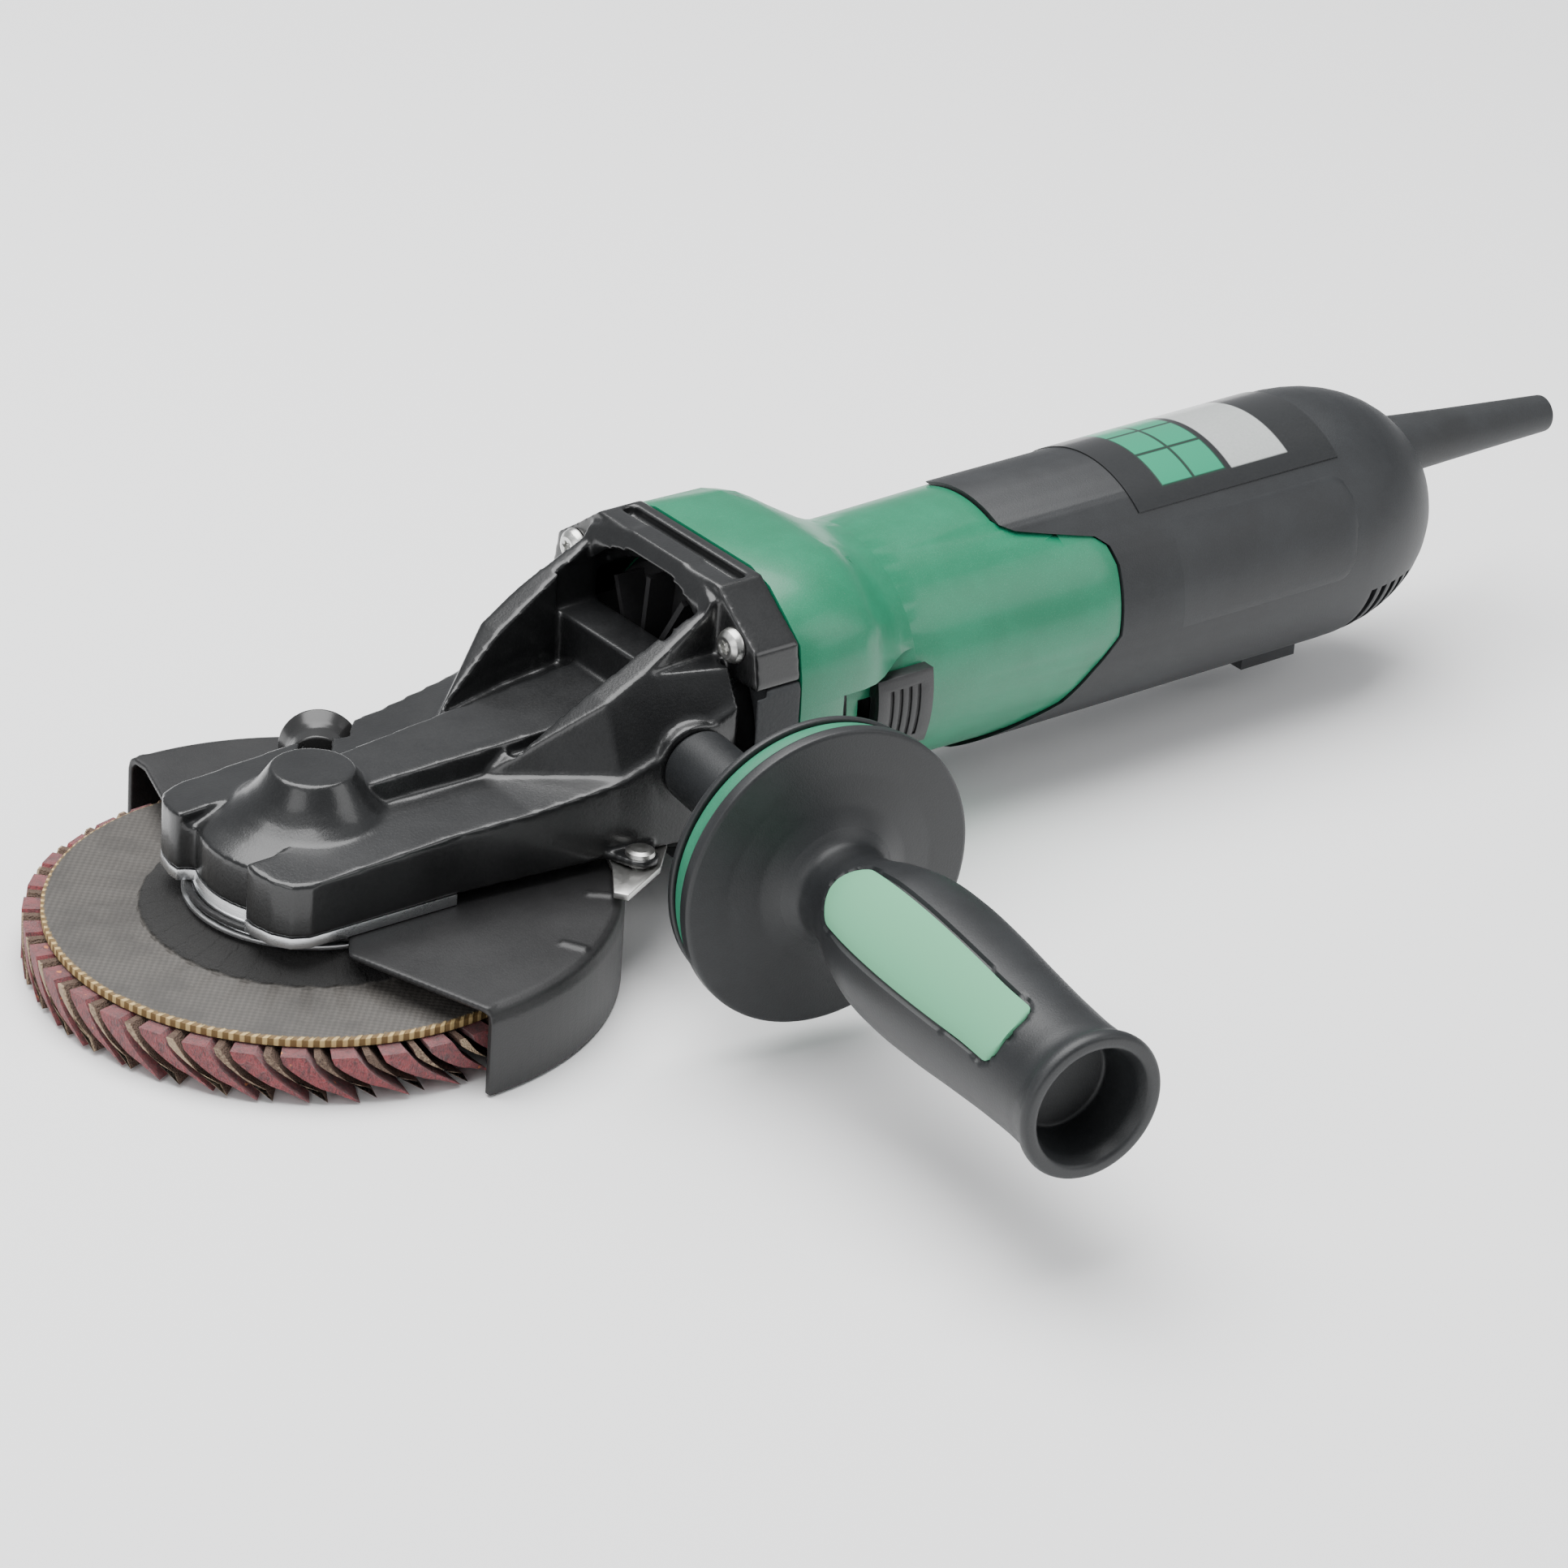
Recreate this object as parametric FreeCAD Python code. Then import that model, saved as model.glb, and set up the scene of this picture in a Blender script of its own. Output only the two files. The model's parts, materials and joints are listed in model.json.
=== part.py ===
import FreeCAD, Part
import math
import os

# Flat-head angle grinder with a 125 mm flap disc.  Millimetres.
# Frame: +Z is the spindle axis, pointing away from the work; +X runs from the
# spindle to the rear of the tool; +Y is the side away from the side handle.
# The origin is the centre of the spindle's free end.

V = FreeCAD.Vector
OUT_X = V(1, 0, 0)
OUT_Y = V(0, 1, 0)
OUT_Z = V(0, 0, 1)

# ---- clearances --------------------------------------------------------------
PRESS = 0.02            # radial gap of a part pressed or glued into its seat
RUN = 0.05              # radial gap of a shaft that turns in its bearing
SLIDE = 0.3             # gap beside a sliding part
GAP = 0.3               # gap between two covers that meet

# ---- disc and spindle stack --------------------------------------------------
PLATE_TOP = 9.0         # top of the disc's backing plate
PLATE_THICK = 2.5
PLATE_RADIUS = 58.0
DISC_RADIUS = 62.5      # 125 mm disc
FLAP_INNER = 40.0
FLAP_DEPTH = 11.5       # how far the flaps hang below the plate
HUB_RISE = 5.0          # height of the disc's raised centre above the plate
HUB_RADIUS = 37.0
HUB_TOP_RADIUS = 22.0
THREAD_RADIUS = 7.0     # M14
THREAD_CORE = 6.4       # mean radius of the thread where the nut and the flange hold it
THREAD_FREE = 4.0       # spindle end left free below the clamping nut
DISC_BORE = 11.12       # 22.23 mm hole of the disc
FLANGE_RADIUS = 17.0
FLANGE_THICK = 2.4
SHAFT_RADIUS = 5.0
SHOULDER_RADIUS = 8.0
TOP_SHAFT_RADIUS = 4.0
LOWER_BEARING = (5.0, 9.5, 5.0)     # bore radius, outer radius, width
LOWER_BEARING_Z = 17.7
CUP_TOP = 21.2          # rim of the lower bearing's seat, below the pinion
UPPER_BEARING = (4.0, 8.0, 4.5)
UPPER_BEARING_Z = 36.6
BOSS_TOP = 43.2
BOSS_TOP_RADIUS = 9.2

# ---- gear train --------------------------------------------------------------
LAY_Z = 27.0            # height of the layshaft axis
MOTOR_Z = 36.0          # height of the motor axis
CROWN_TEETH = 28
PINION_TEETH = 10
BEVEL_MODULE = 1.0
BEVEL_FACE = 5.3        # tooth length along the cone
LAY_TEETH = 13
MOTOR_TEETH = 12
LAY_RADIUS = 3.5
LAY_BEARING = (3.5, 7.0, 5.0)
LAY_FRONT_BEARING_X = 20.5
LAY_REAR_BEARING_X = 60.0
SPUR_X = 68.0
SPUR_WIDTH = 7.0

# ---- motor -------------------------------------------------------------------
ARBOR_RADIUS = 4.0
FRONT_BEARING = (4.0, 11.0, 7.0)
FRONT_BEARING_X = 80.5
REAR_BEARING = (3.5, 9.5, 6.0)
REAR_BEARING_X = 188.0
FAN_X = 92.0
FAN_WIDTH = 9.0
FAN_RADIUS = 30.0
FAN_BLADES = 14
CORE_X = 115.0
CORE_LENGTH = 40.0
CORE_RADIUS = 18.5
AIR_GAP = 0.6
STATOR_RADIUS = 26.0
STATOR_FLAT = 22.4      # half width between the stator's two flats
COMMUTATOR_X = 168.0
COMMUTATOR_LENGTH = 15.0
COMMUTATOR_RADIUS = 11.5
BRUSH_X = 175.5

# ---- gear housing ------------------------------------------------------------
HEAD_BOTTOM = 19.0
HEAD_HALF_WIDTH = 27.3
NOSE_RADIUS = 24.8
FLANGE_FRONT = 91.0
JOINT_X = 103.4         # plane where the gear housing meets the motor housing
FAN_CHAMBER = 32.0
DRUM_WALL = 2.0
CASE_TOP = 73.5
CASE_TOP_HALF = 22.0
CASE_BOTTOM = 1.0
CASE_HALF_WIDTH = 38.5
SCREW_Y = 29.3
UPPER_SCREW_Z = 62.1
LOWER_SCREW_Z = 10.5
SCREW_RADIUS = 2.0
RIDGE_END = 79.0
# stations of the head's flanks: x, side wall and its height, knee and its height, crest and its height
HEAD_STATIONS = ((-28.0, 28.3, 31.0, 9.2, 33.0, 9.0, 33.2),
                 (38.0, 30.3, 34.5, 10.8, 35.5, 10.5, 35.7),
                 (61.0, 32.0, 37.0, 30.0, 38.0, 23.5, 52.8),
                 (74.0, 33.5, 43.0, 32.0, 44.0, 24.5, 60.3),
                 (89.0, 35.3, 50.0, 34.0, 51.0, 25.5, 68.5))
RIB_INNER = ((44.0, 13.5), (61.0, 16.8), (77.0, 18.3), (92.0, 21.0))    # x, inner edge of the rib
WINDOW = ((20.0, 53.0), (20.0, 63.5), (14.5, 68.0), (7.5, 70.0))        # half outline: offset, height
SCREW_SHELF = 57.6      # floor of the recess around each upper screw
BRIDGE_X = 88.0         # front of the arched bridge over the window

# ---- bearing cover and guard ---------------------------------------------------
COVER_THICK = 2.5
COVER_RING = 27.7
COVER_RING_Z = 13.4
COVER_SCREW_LENGTH = 6.0
COVER_REAR = 24.0
GUARD_RADIUS = 69.1
GUARD_SHEET = 1.6
GUARD_BOTTOM = -4.8
GUARD_START = -90.0     # edges of the guard's wall, degrees from +X
GUARD_END = 92.0
GUARD_NECK = 25.6

# ---- lever and lock button -----------------------------------------------------
LEVER_PIVOT = (63.0, -35.9)
LEVER_THICK = 1.5
LEVER_PIN = 2.5
LOCK_AZIMUTH = 53.13
LOCK_TRAVEL = 3.5
LOCK_PIN = 2.0
LOCK_SEAT = 28.5        # bottom of the spring pocket, from the spindle axis
LOCK_POCKET = 32.9      # bottom of the pocket the button sinks into, from the spindle axis
LOCK_STEM = 6.9
LOCK_RIM = 9.3
LOCK_FACE = 42.0

# ---- motor and rear housings -----------------------------------------------------
GRIP_RADIUS = 29.2
GRIP_START = 145.0
RING_POINTS = 36        # corners of the outlines that the shoulder is drawn through
SHOULDER_END = 122.0
SHELL_INNER = 27.0
REAR_RADIUS = 30.6
REAR_WALL = 2.3
REAR_END = 320.0
DOME_START = 280.0
DOME_STEPS = 14
DOME_FULLNESS = 2.3     # exponent of the rear end's curve; 2 is an ellipse
SPIGOT_END = 222.0
SLIDE_X = 131.0
SLIDE_LENGTH = 16.0
SLIDE_TRAVEL = 8.0
SLIDE_Z = 34.0
SLIDE_HEIGHT = 19.0

REAR_SCREW_X = (199.0, 216.0)

# ---- cord sleeve -----------------------------------------------------------------
SLEEVE_Z = 47.0
SLEEVE_DROP = 3.0       # degrees
SLEEVE_ROOT = 7.8
SLEEVE_TIP = 4.6
SLEEVE_START = 303.0
SLEEVE_END = 367.0
CORD_RADIUS = 3.6

# ---- side handle -----------------------------------------------------------------
HANDLE_SEAT = (78.3, 34.4, 38.4)    # x, distance from the mid plane, z
HANDLE_LEAN = 6.87      # degrees forward
HANDLE_DROP = 0.82      # degrees down
STUD_RADIUS = 4.0       # M8
STUD_DEPTH = 11.0
SOCKET_DEPTH = 12.0
PAD_RADIUS = 9.4        # boss round each handle socket
NECK_RADIUS = 8.6
DISC_BACK = 44.5        # back of the rear disc, from the seat
DISC_FRONT = 56.0       # front of the hand disc, from the seat
HAND_DISC = 34.9
REAR_DISC = 33.5
HANDLE_END = 159.5


# ---- shape helpers -----------------------------------------------------------------
def fuse(*shapes):
    result = shapes[0]
    for shape in shapes[1:]:
        result = result.fuse(shape)
    return result.removeSplitter()


def cut(base, *tools):
    for tool in tools:
        base = base.cut(tool)
    return base


def box(x0, x1, y0, y1, z0, z1):
    return Part.makeBox(x1 - x0, y1 - y0, z1 - z0, V(x0, y0, z0))


def rod(radius, start, length, axis=OUT_Z):
    return Part.makeCylinder(radius, length, start, axis)


def ring(outer, inner, start, length, axis=OUT_Z):
    over = V(axis).normalize() * 1.0
    return rod(outer, start, length, axis).cut(rod(inner, start - over, length + 2.0, axis))


def turned(profile, start=V(0, 0, 0), axis=OUT_Z):
    """Revolve a closed (radius, height) profile and stand it on start along axis."""
    points = [V(radius, 0, height) for radius, height in profile]
    face = Part.Face(Part.makePolygon(points + points[:1]))
    solid = face.revolve(V(0, 0, 0), OUT_Z, 360)
    solid.Placement = FreeCAD.Placement(start, FreeCAD.Rotation(OUT_Z, axis))
    return solid


def plate(points, low, high, plane="xy"):
    """Extrude a closed outline given in the xy, xz or yz plane from low to high."""
    place = {"xy": lambda p: V(p[0], p[1], low),
             "xz": lambda p: V(p[0], low, p[1]),
             "yz": lambda p: V(low, p[0], p[1])}[plane]
    along = {"xy": OUT_Z, "xz": OUT_Y, "yz": OUT_X}[plane]
    corners = [place(p) for p in points]
    return Part.Face(Part.makePolygon(corners + corners[:1])).extrude(along * (high - low))


def loft(sections):
    """Ruled solid through closed polygons."""
    wires = [Part.makePolygon(points + points[:1]) for points in sections]
    return Part.makeLoft(wires, True, True)


def mirrored(shape):
    return shape.mirror(V(0, 0, 0), OUT_Y)


def symmetric(half):
    """Close a half outline of (offset, height) points, from low to high, by its mirror image."""
    return half + [(-offset, height) for offset, height in reversed(half)]


# ---- gears ---------------------------------------------------------------------------
def spur_gear(teeth, pitch_radius, start, width, bore, first_tooth):
    """Straight gear along +X; first_tooth is the direction of one tooth, degrees from +Y."""
    module = 2 * pitch_radius / teeth
    tip = pitch_radius + 0.75 * module
    root = pitch_radius - 1.05 * module
    step = 360.0 / teeth
    outline = []
    for number in range(teeth):
        middle = first_tooth + number * step
        for radius, share in ((root, -0.29), (tip, -0.11), (tip, 0.11), (root, 0.29)):
            angle = math.radians(middle + share * step)
            outline.append((radius * math.cos(angle), start.z + radius * math.sin(angle)))
    blank = plate(outline, start.x, start.x + width, "yz")
    if bore <= 0:
        return blank
    return blank.cut(rod(bore, V(start.x - 1, 0, start.z), width + 2, OUT_X))


def bevel_teeth(teeth, pitch_angle, first_tooth):
    """Tapered teeth on a cone about +Z with its tip at the origin."""
    module = BEVEL_MODULE
    outer = teeth * module / 2 / math.sin(pitch_angle)
    inner = outer - BEVEL_FACE
    lift = V(math.cos(pitch_angle), 0, -math.sin(pitch_angle))
    along = V(math.sin(pitch_angle), 0, math.cos(pitch_angle))
    solids = []
    for number in range(teeth):
        sections = []
        for distance in (inner, outer):
            scale = distance / outer
            middle = along * distance
            quad = []
            for height, half in ((-1.35, 0.98), (0.75, 0.32), (0.75, -0.32), (-1.35, -0.98)):
                quad.append(middle + lift * (height * module * scale) + V(0, half * module * scale, 0))
            sections.append(quad)
        tooth = loft(sections)
        tooth.rotate(V(0, 0, 0), OUT_Z, first_tooth + number * 360.0 / teeth)
        solids.append(tooth)
    return solids


def bevel_gear(teeth, pitch_angle, back, bore, first_tooth):
    """Bevel gear about +Z: a root cone from the teeth back to the given profile points."""
    outer = teeth * BEVEL_MODULE / 2 / math.sin(pitch_angle)
    inner = outer - BEVEL_FACE
    root = []
    for distance in (inner, outer):
        depth = 1.05 * BEVEL_MODULE * distance / outer
        radius = distance * math.sin(pitch_angle) - depth * math.cos(pitch_angle)
        height = distance * math.cos(pitch_angle) + depth * math.sin(pitch_angle)
        root.append((radius, height))
    blank = turned([(bore, root[0][1])] + root + back)
    return fuse(blank, *bevel_teeth(teeth, pitch_angle, first_tooth))


CROWN_PITCH = CROWN_TEETH * BEVEL_MODULE / 2
PINION_PITCH = PINION_TEETH * BEVEL_MODULE / 2
CROWN_ANGLE = math.atan2(CROWN_PITCH, PINION_PITCH)
PINION_ANGLE = math.pi / 2 - CROWN_ANGLE
SPUR_DISTANCE = MOTOR_Z - LAY_Z
LAY_PITCH = SPUR_DISTANCE * LAY_TEETH / (LAY_TEETH + MOTOR_TEETH)
MOTOR_PITCH = SPUR_DISTANCE - LAY_PITCH
FLANGE_Z = PLATE_TOP + HUB_RISE
SHOULDER_Z = LOWER_BEARING_Z + LOWER_BEARING[2]
CROWN_SEAT_Z = 30.4


# ---- spindle and disc ------------------------------------------------------------------
def make_spindle():
    thread = fuse(rod(THREAD_RADIUS, V(0, 0, 0), THREAD_FREE),
                  rod(THREAD_CORE, V(0, 0, THREAD_FREE), FLANGE_Z - THREAD_FREE))
    body = rod(SHAFT_RADIUS - RUN, V(0, 0, FLANGE_Z), SHOULDER_Z - FLANGE_Z)
    shoulder = rod(SHOULDER_RADIUS, V(0, 0, SHOULDER_Z), CROWN_SEAT_Z - SHOULDER_Z)
    seat = rod(SHAFT_RADIUS, V(0, 0, CROWN_SEAT_Z), UPPER_BEARING_Z - 0.6 - CROWN_SEAT_Z)
    top = rod(TOP_SHAFT_RADIUS - RUN, V(0, 0, UPPER_BEARING_Z - 0.6), UPPER_BEARING[2] + 0.5)
    spindle = fuse(thread, body, shoulder, seat, top)
    for number in range(4):
        slot = box(SHOULDER_RADIUS - 3.0, SHOULDER_RADIUS + 1, -LOCK_PIN - SLIDE, LOCK_PIN + SLIDE,
                   SHOULDER_Z + 0.2, LAY_Z + LOCK_PIN + SLIDE)
        slot.rotate(V(0, 0, 0), OUT_Z, LOCK_AZIMUTH + 90 * number)
        spindle = spindle.cut(slot)
    for side in (-1, 1):
        flat = box(-9, 9, 5.9, 9, FLANGE_Z - 1.5, FLANGE_Z)
        flat.rotate(V(0, 0, 0), OUT_Z, 90 * side)
        spindle = spindle.cut(flat)
    return spindle


def make_crown_gear():
    back = [(CROWN_PITCH + 0.3, 6.6), (9.0, 8.6), (SHAFT_RADIUS + PRESS, 8.6)]
    gear = bevel_gear(CROWN_TEETH, CROWN_ANGLE, back, SHAFT_RADIUS + PRESS, 180.0 / CROWN_TEETH)
    gear.translate(V(0, 0, LAY_Z))
    return gear


def make_inner_flange():
    hub = ring(SHAFT_RADIUS + 3.4, SHAFT_RADIUS + PRESS, V(0, 0, FLANGE_Z), LOWER_BEARING_Z - FLANGE_Z)
    face = ring(FLANGE_RADIUS, SHAFT_RADIUS + PRESS, V(0, 0, FLANGE_Z), FLANGE_THICK)
    pilot = ring(DISC_BORE - RUN, THREAD_CORE + PRESS, V(0, 0, FLANGE_Z - PLATE_THICK + 0.4),
                 PLATE_THICK - 0.4)
    return fuse(hub, face, pilot)


def make_backing_plate():
    bottom = PLATE_TOP - PLATE_THICK
    bore = DISC_BORE
    return turned([(bore, FLANGE_Z - PLATE_THICK), (HUB_TOP_RADIUS - 1, FLANGE_Z - PLATE_THICK),
                   (HUB_RADIUS - 1, bottom), (PLATE_RADIUS, bottom), (PLATE_RADIUS, PLATE_TOP),
                   (HUB_RADIUS, PLATE_TOP), (HUB_TOP_RADIUS, FLANGE_Z), (bore, FLANGE_Z)])


def make_flap_pack():
    top = PLATE_TOP - PLATE_THICK
    bottom = top - FLAP_DEPTH
    return turned([(FLAP_INNER, bottom + 2.5), (DISC_RADIUS - 3, bottom), (DISC_RADIUS, bottom + 2.0),
                   (DISC_RADIUS - 0.5, top + 0.8), (PLATE_RADIUS + PRESS, top + 0.8),
                   (PLATE_RADIUS + PRESS, top - PRESS), (FLAP_INNER, top - PRESS)])


def make_clamping_nut():
    top = FLANGE_Z - PLATE_THICK
    bore = THREAD_CORE + PRESS
    low = THREAD_FREE + GAP
    nut = turned([(bore, low), (17.0, low), (20.0, low + 2.5), (20.0, top), (bore, top)])
    for side in (-1, 1):
        nut = nut.cut(rod(2.5, V(15.0 * side, 0, low - 1), 4.0))
    return nut


# ---- bearings -------------------------------------------------------------------------
def make_bearing(size, start, axis):
    """Ring bearing with a shield groove in each face."""
    bore, outer, width = size
    middle = (bore + outer) / 2
    groove = (outer - bore) * 0.18
    profile = [(bore, 0), (middle - groove, 0), (middle - groove, 0.4), (middle + groove, 0.4),
               (middle + groove, 0), (outer - PRESS, 0), (outer - PRESS, width),
               (middle + groove, width), (middle + groove, width - 0.4),
               (middle - groove, width - 0.4), (middle - groove, width), (bore, width)]
    return turned(profile, start, axis)


# ---- layshaft and motor -----------------------------------------------------------------
def make_bevel_pinion():
    back_x = CROWN_PITCH + 3.4
    back = [(PINION_PITCH - 0.6, back_x), (LAY_RADIUS, back_x)]
    gear = bevel_gear(PINION_TEETH, PINION_ANGLE, back, LAY_RADIUS - 1.2, 0.0)
    gear.rotate(V(0, 0, 0), OUT_Y, 90)
    gear.rotate(V(0, 0, 0), OUT_X, 180)
    gear.translate(V(0, 0, LAY_Z))
    return gear


def make_layshaft():
    radius = LAY_RADIUS - RUN
    start = CROWN_PITCH + 3.4
    nose = rod(LAY_RADIUS - 1.2 - PRESS, V(9.6, 0, LAY_Z), start - 9.6, OUT_X)
    return fuse(nose, rod(radius, V(start, 0, LAY_Z), SPUR_X + SPUR_WIDTH + 1 - start, OUT_X))


def make_layshaft_gear():
    start = V(SPUR_X, 0, LAY_Z)
    return spur_gear(LAY_TEETH, LAY_PITCH, start, SPUR_WIDTH, LAY_RADIUS - RUN + PRESS,
                     90 + 180.0 / LAY_TEETH)


def make_armature_shaft():
    gear = spur_gear(MOTOR_TEETH, MOTOR_PITCH, V(SPUR_X, 0, MOTOR_Z), SPUR_WIDTH, 0, -90)
    front = rod(3.2, V(SPUR_X + SPUR_WIDTH - 1, 0, MOTOR_Z), 4.0, OUT_X)
    shaft_start = SPUR_X + SPUR_WIDTH + 2
    shaft = rod(ARBOR_RADIUS - RUN, V(shaft_start, 0, MOTOR_Z), REAR_BEARING_X - shaft_start, OUT_X)
    tail = rod(REAR_BEARING[0] - RUN, V(REAR_BEARING_X - 1, 0, MOTOR_Z), REAR_BEARING[2] + 3, OUT_X)
    return fuse(gear, front, shaft, tail)


def make_fan():
    bore = ARBOR_RADIUS - RUN + PRESS
    hub = ring(9.0, bore, V(FAN_X, 0, MOTOR_Z), FAN_WIDTH, OUT_X)
    disc = ring(FAN_RADIUS, bore, V(FAN_X + FAN_WIDTH - 1.6, 0, MOTOR_Z), 1.6, OUT_X)
    blades = []
    for number in range(FAN_BLADES):
        blade = box(FAN_X, FAN_X + FAN_WIDTH - 1, 8.5, FAN_RADIUS - 1, -0.7, 0.7)
        blade.rotate(V(0, 20, 0), OUT_X, 18)
        blade.rotate(V(0, 0, 0), OUT_X, number * 360.0 / FAN_BLADES)
        blade.translate(V(0, 0, MOTOR_Z))
        blades.append(blade)
    return fuse(hub, disc, *blades)


def make_armature_core():
    bore = ARBOR_RADIUS - RUN + PRESS
    core = ring(CORE_RADIUS, bore, V(CORE_X, 0, MOTOR_Z), CORE_LENGTH, OUT_X)
    for number in range(12):
        slot = box(CORE_X - 1, CORE_X + CORE_LENGTH + 1, 10.0, CORE_RADIUS + 1, -0.9, 0.9)
        slot.rotate(V(0, 0, 0), OUT_X, 30 * number)
        slot.translate(V(0, 0, MOTOR_Z))
        core = core.cut(slot)
    return core


def make_armature_coils():
    """Copper end turns before and behind the core, on the shaft."""
    bore = ARBOR_RADIUS - RUN + PRESS
    rear = CORE_X + CORE_LENGTH
    front_coil = turned([(bore, 0), (9, 0), (15.5, 3), (16.5, 8), (bore, 8)],
                        V(CORE_X - 8 - PRESS, 0, MOTOR_Z), OUT_X)
    rear_coil = turned([(bore, 0), (16.5, 0), (15.5, 6), (10.5, 12), (bore, 12)],
                       V(rear + PRESS, 0, MOTOR_Z), OUT_X)
    return Part.makeCompound([front_coil, rear_coil])


def make_commutator():
    bore = ARBOR_RADIUS - RUN + PRESS
    bars = ring(COMMUTATOR_RADIUS, bore, V(COMMUTATOR_X, 0, MOTOR_Z), COMMUTATOR_LENGTH, OUT_X)
    for number in range(24):
        slit = box(COMMUTATOR_X - 1, COMMUTATOR_X + COMMUTATOR_LENGTH + 1,
                   COMMUTATOR_RADIUS - 0.8, COMMUTATOR_RADIUS + 1, -0.2, 0.2)
        slit.rotate(V(0, 0, 0), OUT_X, 15 * number)
        slit.translate(V(0, 0, MOTOR_Z))
        bars = bars.cut(slit)
    return bars


def make_stator():
    axis_point = V(CORE_X, 0, MOTOR_Z)
    core = ring(STATOR_RADIUS, CORE_RADIUS + AIR_GAP, axis_point, CORE_LENGTH, OUT_X)
    for side in (-1, 1):
        flat = box(CORE_X - 1, CORE_X + CORE_LENGTH + 1, STATOR_FLAT, 40, 0, 80)
        core = core.cut(flat if side > 0 else mirrored(flat))
    return core


def make_field_coils():
    """Two coils, each with end turns that stand out of the stator's ends above and below."""
    inner, outer = CORE_RADIUS + AIR_GAP, STATOR_RADIUS - 2
    solids = []
    for start, length in ((CORE_X - 7.0, 7.0 - PRESS), (CORE_X + CORE_LENGTH + PRESS, 7.0)):
        end_turn = ring(outer, inner, V(start, 0, MOTOR_Z), length, OUT_X)
        for low, high in ((MOTOR_Z + 9, MOTOR_Z + 40), (MOTOR_Z - 40, MOTOR_Z - 9)):
            solids.append(end_turn.common(box(start - 1, start + length + 1, -40, 40, low, high)))
    return Part.makeCompound(solids)


def make_air_baffle():
    """Ring behind the fan that turns the cooling air from the motor into the fan."""
    return turned([(FAN_CHAMBER - PRESS, 0), (FAN_CHAMBER - PRESS, 2.0), (25.0, 3.8),
                   (23.0, 3.8), (23.0, 2.4), (25.0, 0)], V(JOINT_X + 0.4, 0, MOTOR_Z), OUT_X)


def brush_frame(shape, side):
    """Turn a piece drawn above the commutator to the upper or the lower side."""
    if side < 0:
        shape.rotate(V(0, 0, MOTOR_Z), OUT_X, 180)
    return shape


def make_brushes():
    low = MOTOR_Z + COMMUTATOR_RADIUS + 0.1
    return Part.makeCompound([brush_frame(box(BRUSH_X - 4, BRUSH_X + 4, -2.9, 2.9, low, low + 10), side)
                              for side in (-1, 1)])


def make_brush_holders():
    low = MOTOR_Z + COMMUTATOR_RADIUS + 1.4
    holders = []
    for side in (-1, 1):
        tube = box(BRUSH_X - 5.4, BRUSH_X + 5.4, -4.3, 4.3, low, MOTOR_Z + 25.4)
        hole = box(BRUSH_X - 4.1, BRUSH_X + 4.1, -3.0, 3.0, low - 1, MOTOR_Z + 24.2)
        holders.append(brush_frame(tube.cut(hole), side))
    return Part.makeCompound(holders)


# ---- gear housing ----------------------------------------------------------------------
def head_outline():
    """Plan of the head: round nose between two corner blocks, then the two flanks."""
    half = []
    for step in range(5):
        angle = math.radians(180 - step * 26.5 / 4)
        half.append((NOSE_RADIUS * math.cos(angle), NOSE_RADIUS * math.sin(angle)))
    half += [(-24.0, 12.4), (-25.6, 13.2), (-25.7, 16.0), (-24.4, 21.5), (-21.8, 25.3),
             (-18.0, HEAD_HALF_WIDTH - 0.3), (20.0, HEAD_HALF_WIDTH + 0.2), (60.0, 31.5), (93.0, 37.0)]
    return half + [(x, -y) for x, y in reversed(half[1:])]


def head_section(x, wall, wall_top, knee, knee_top, crest, crest_top):
    """Cross-section of the head: side wall, level shoulder, flank and crest."""
    half = [(wall, HEAD_BOTTOM), (wall, wall_top), (knee, knee_top), (crest, crest_top)]
    return [V(x, y, z) for y, z in symmetric(half)]


def ridge_top(x):
    return 39.3 + x * 4.4 / 80.0


def case_section():
    """Half outline of the case at the joint: offset from the mid plane and height."""
    return [(18.0, CASE_BOTTOM), (31.0, 7.5), (CASE_HALF_WIDTH, 24.0), (CASE_HALF_WIDTH, 52.0),
            (36.6, 62.6), (30.4, 67.0), (CASE_TOP_HALF, CASE_TOP)]


def make_flanks():
    """Both flanks with the pocket between the ribs and the step in front of the boss."""
    flanks = loft([head_section(*station) for station in HEAD_STATIONS])
    flanks = flanks.common(plate(head_outline(), HEAD_BOTTOM, 90.0))
    front_step = box(-40.0, -4.0, -12.8, 12.8, 29.6, 60.0)
    pocket = loft([[V(x, y, z) for y, z in ((-inner, ridge_top(x) - 3.0), (inner, ridge_top(x) - 3.0),
                                            (inner, 95.0), (-inner, 95.0))]
                   for x, inner in RIB_INNER])
    return cut(flanks, front_step, pocket)


def make_boss():
    """Bell-shaped boss over the spindle's upper bearing."""
    return turned([(0, HEAD_BOTTOM), (NOSE_RADIUS - 0.3, HEAD_BOTTOM), (NOSE_RADIUS - 0.3, 29.6),
                   (22.6, 30.6), (20.0, 31.9), (17.2, 33.7), (14.6, 35.9), (12.4, 38.4), (10.8, 40.8),
                   (BOSS_TOP_RADIUS, BOSS_TOP), (0, BOSS_TOP)])


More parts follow.
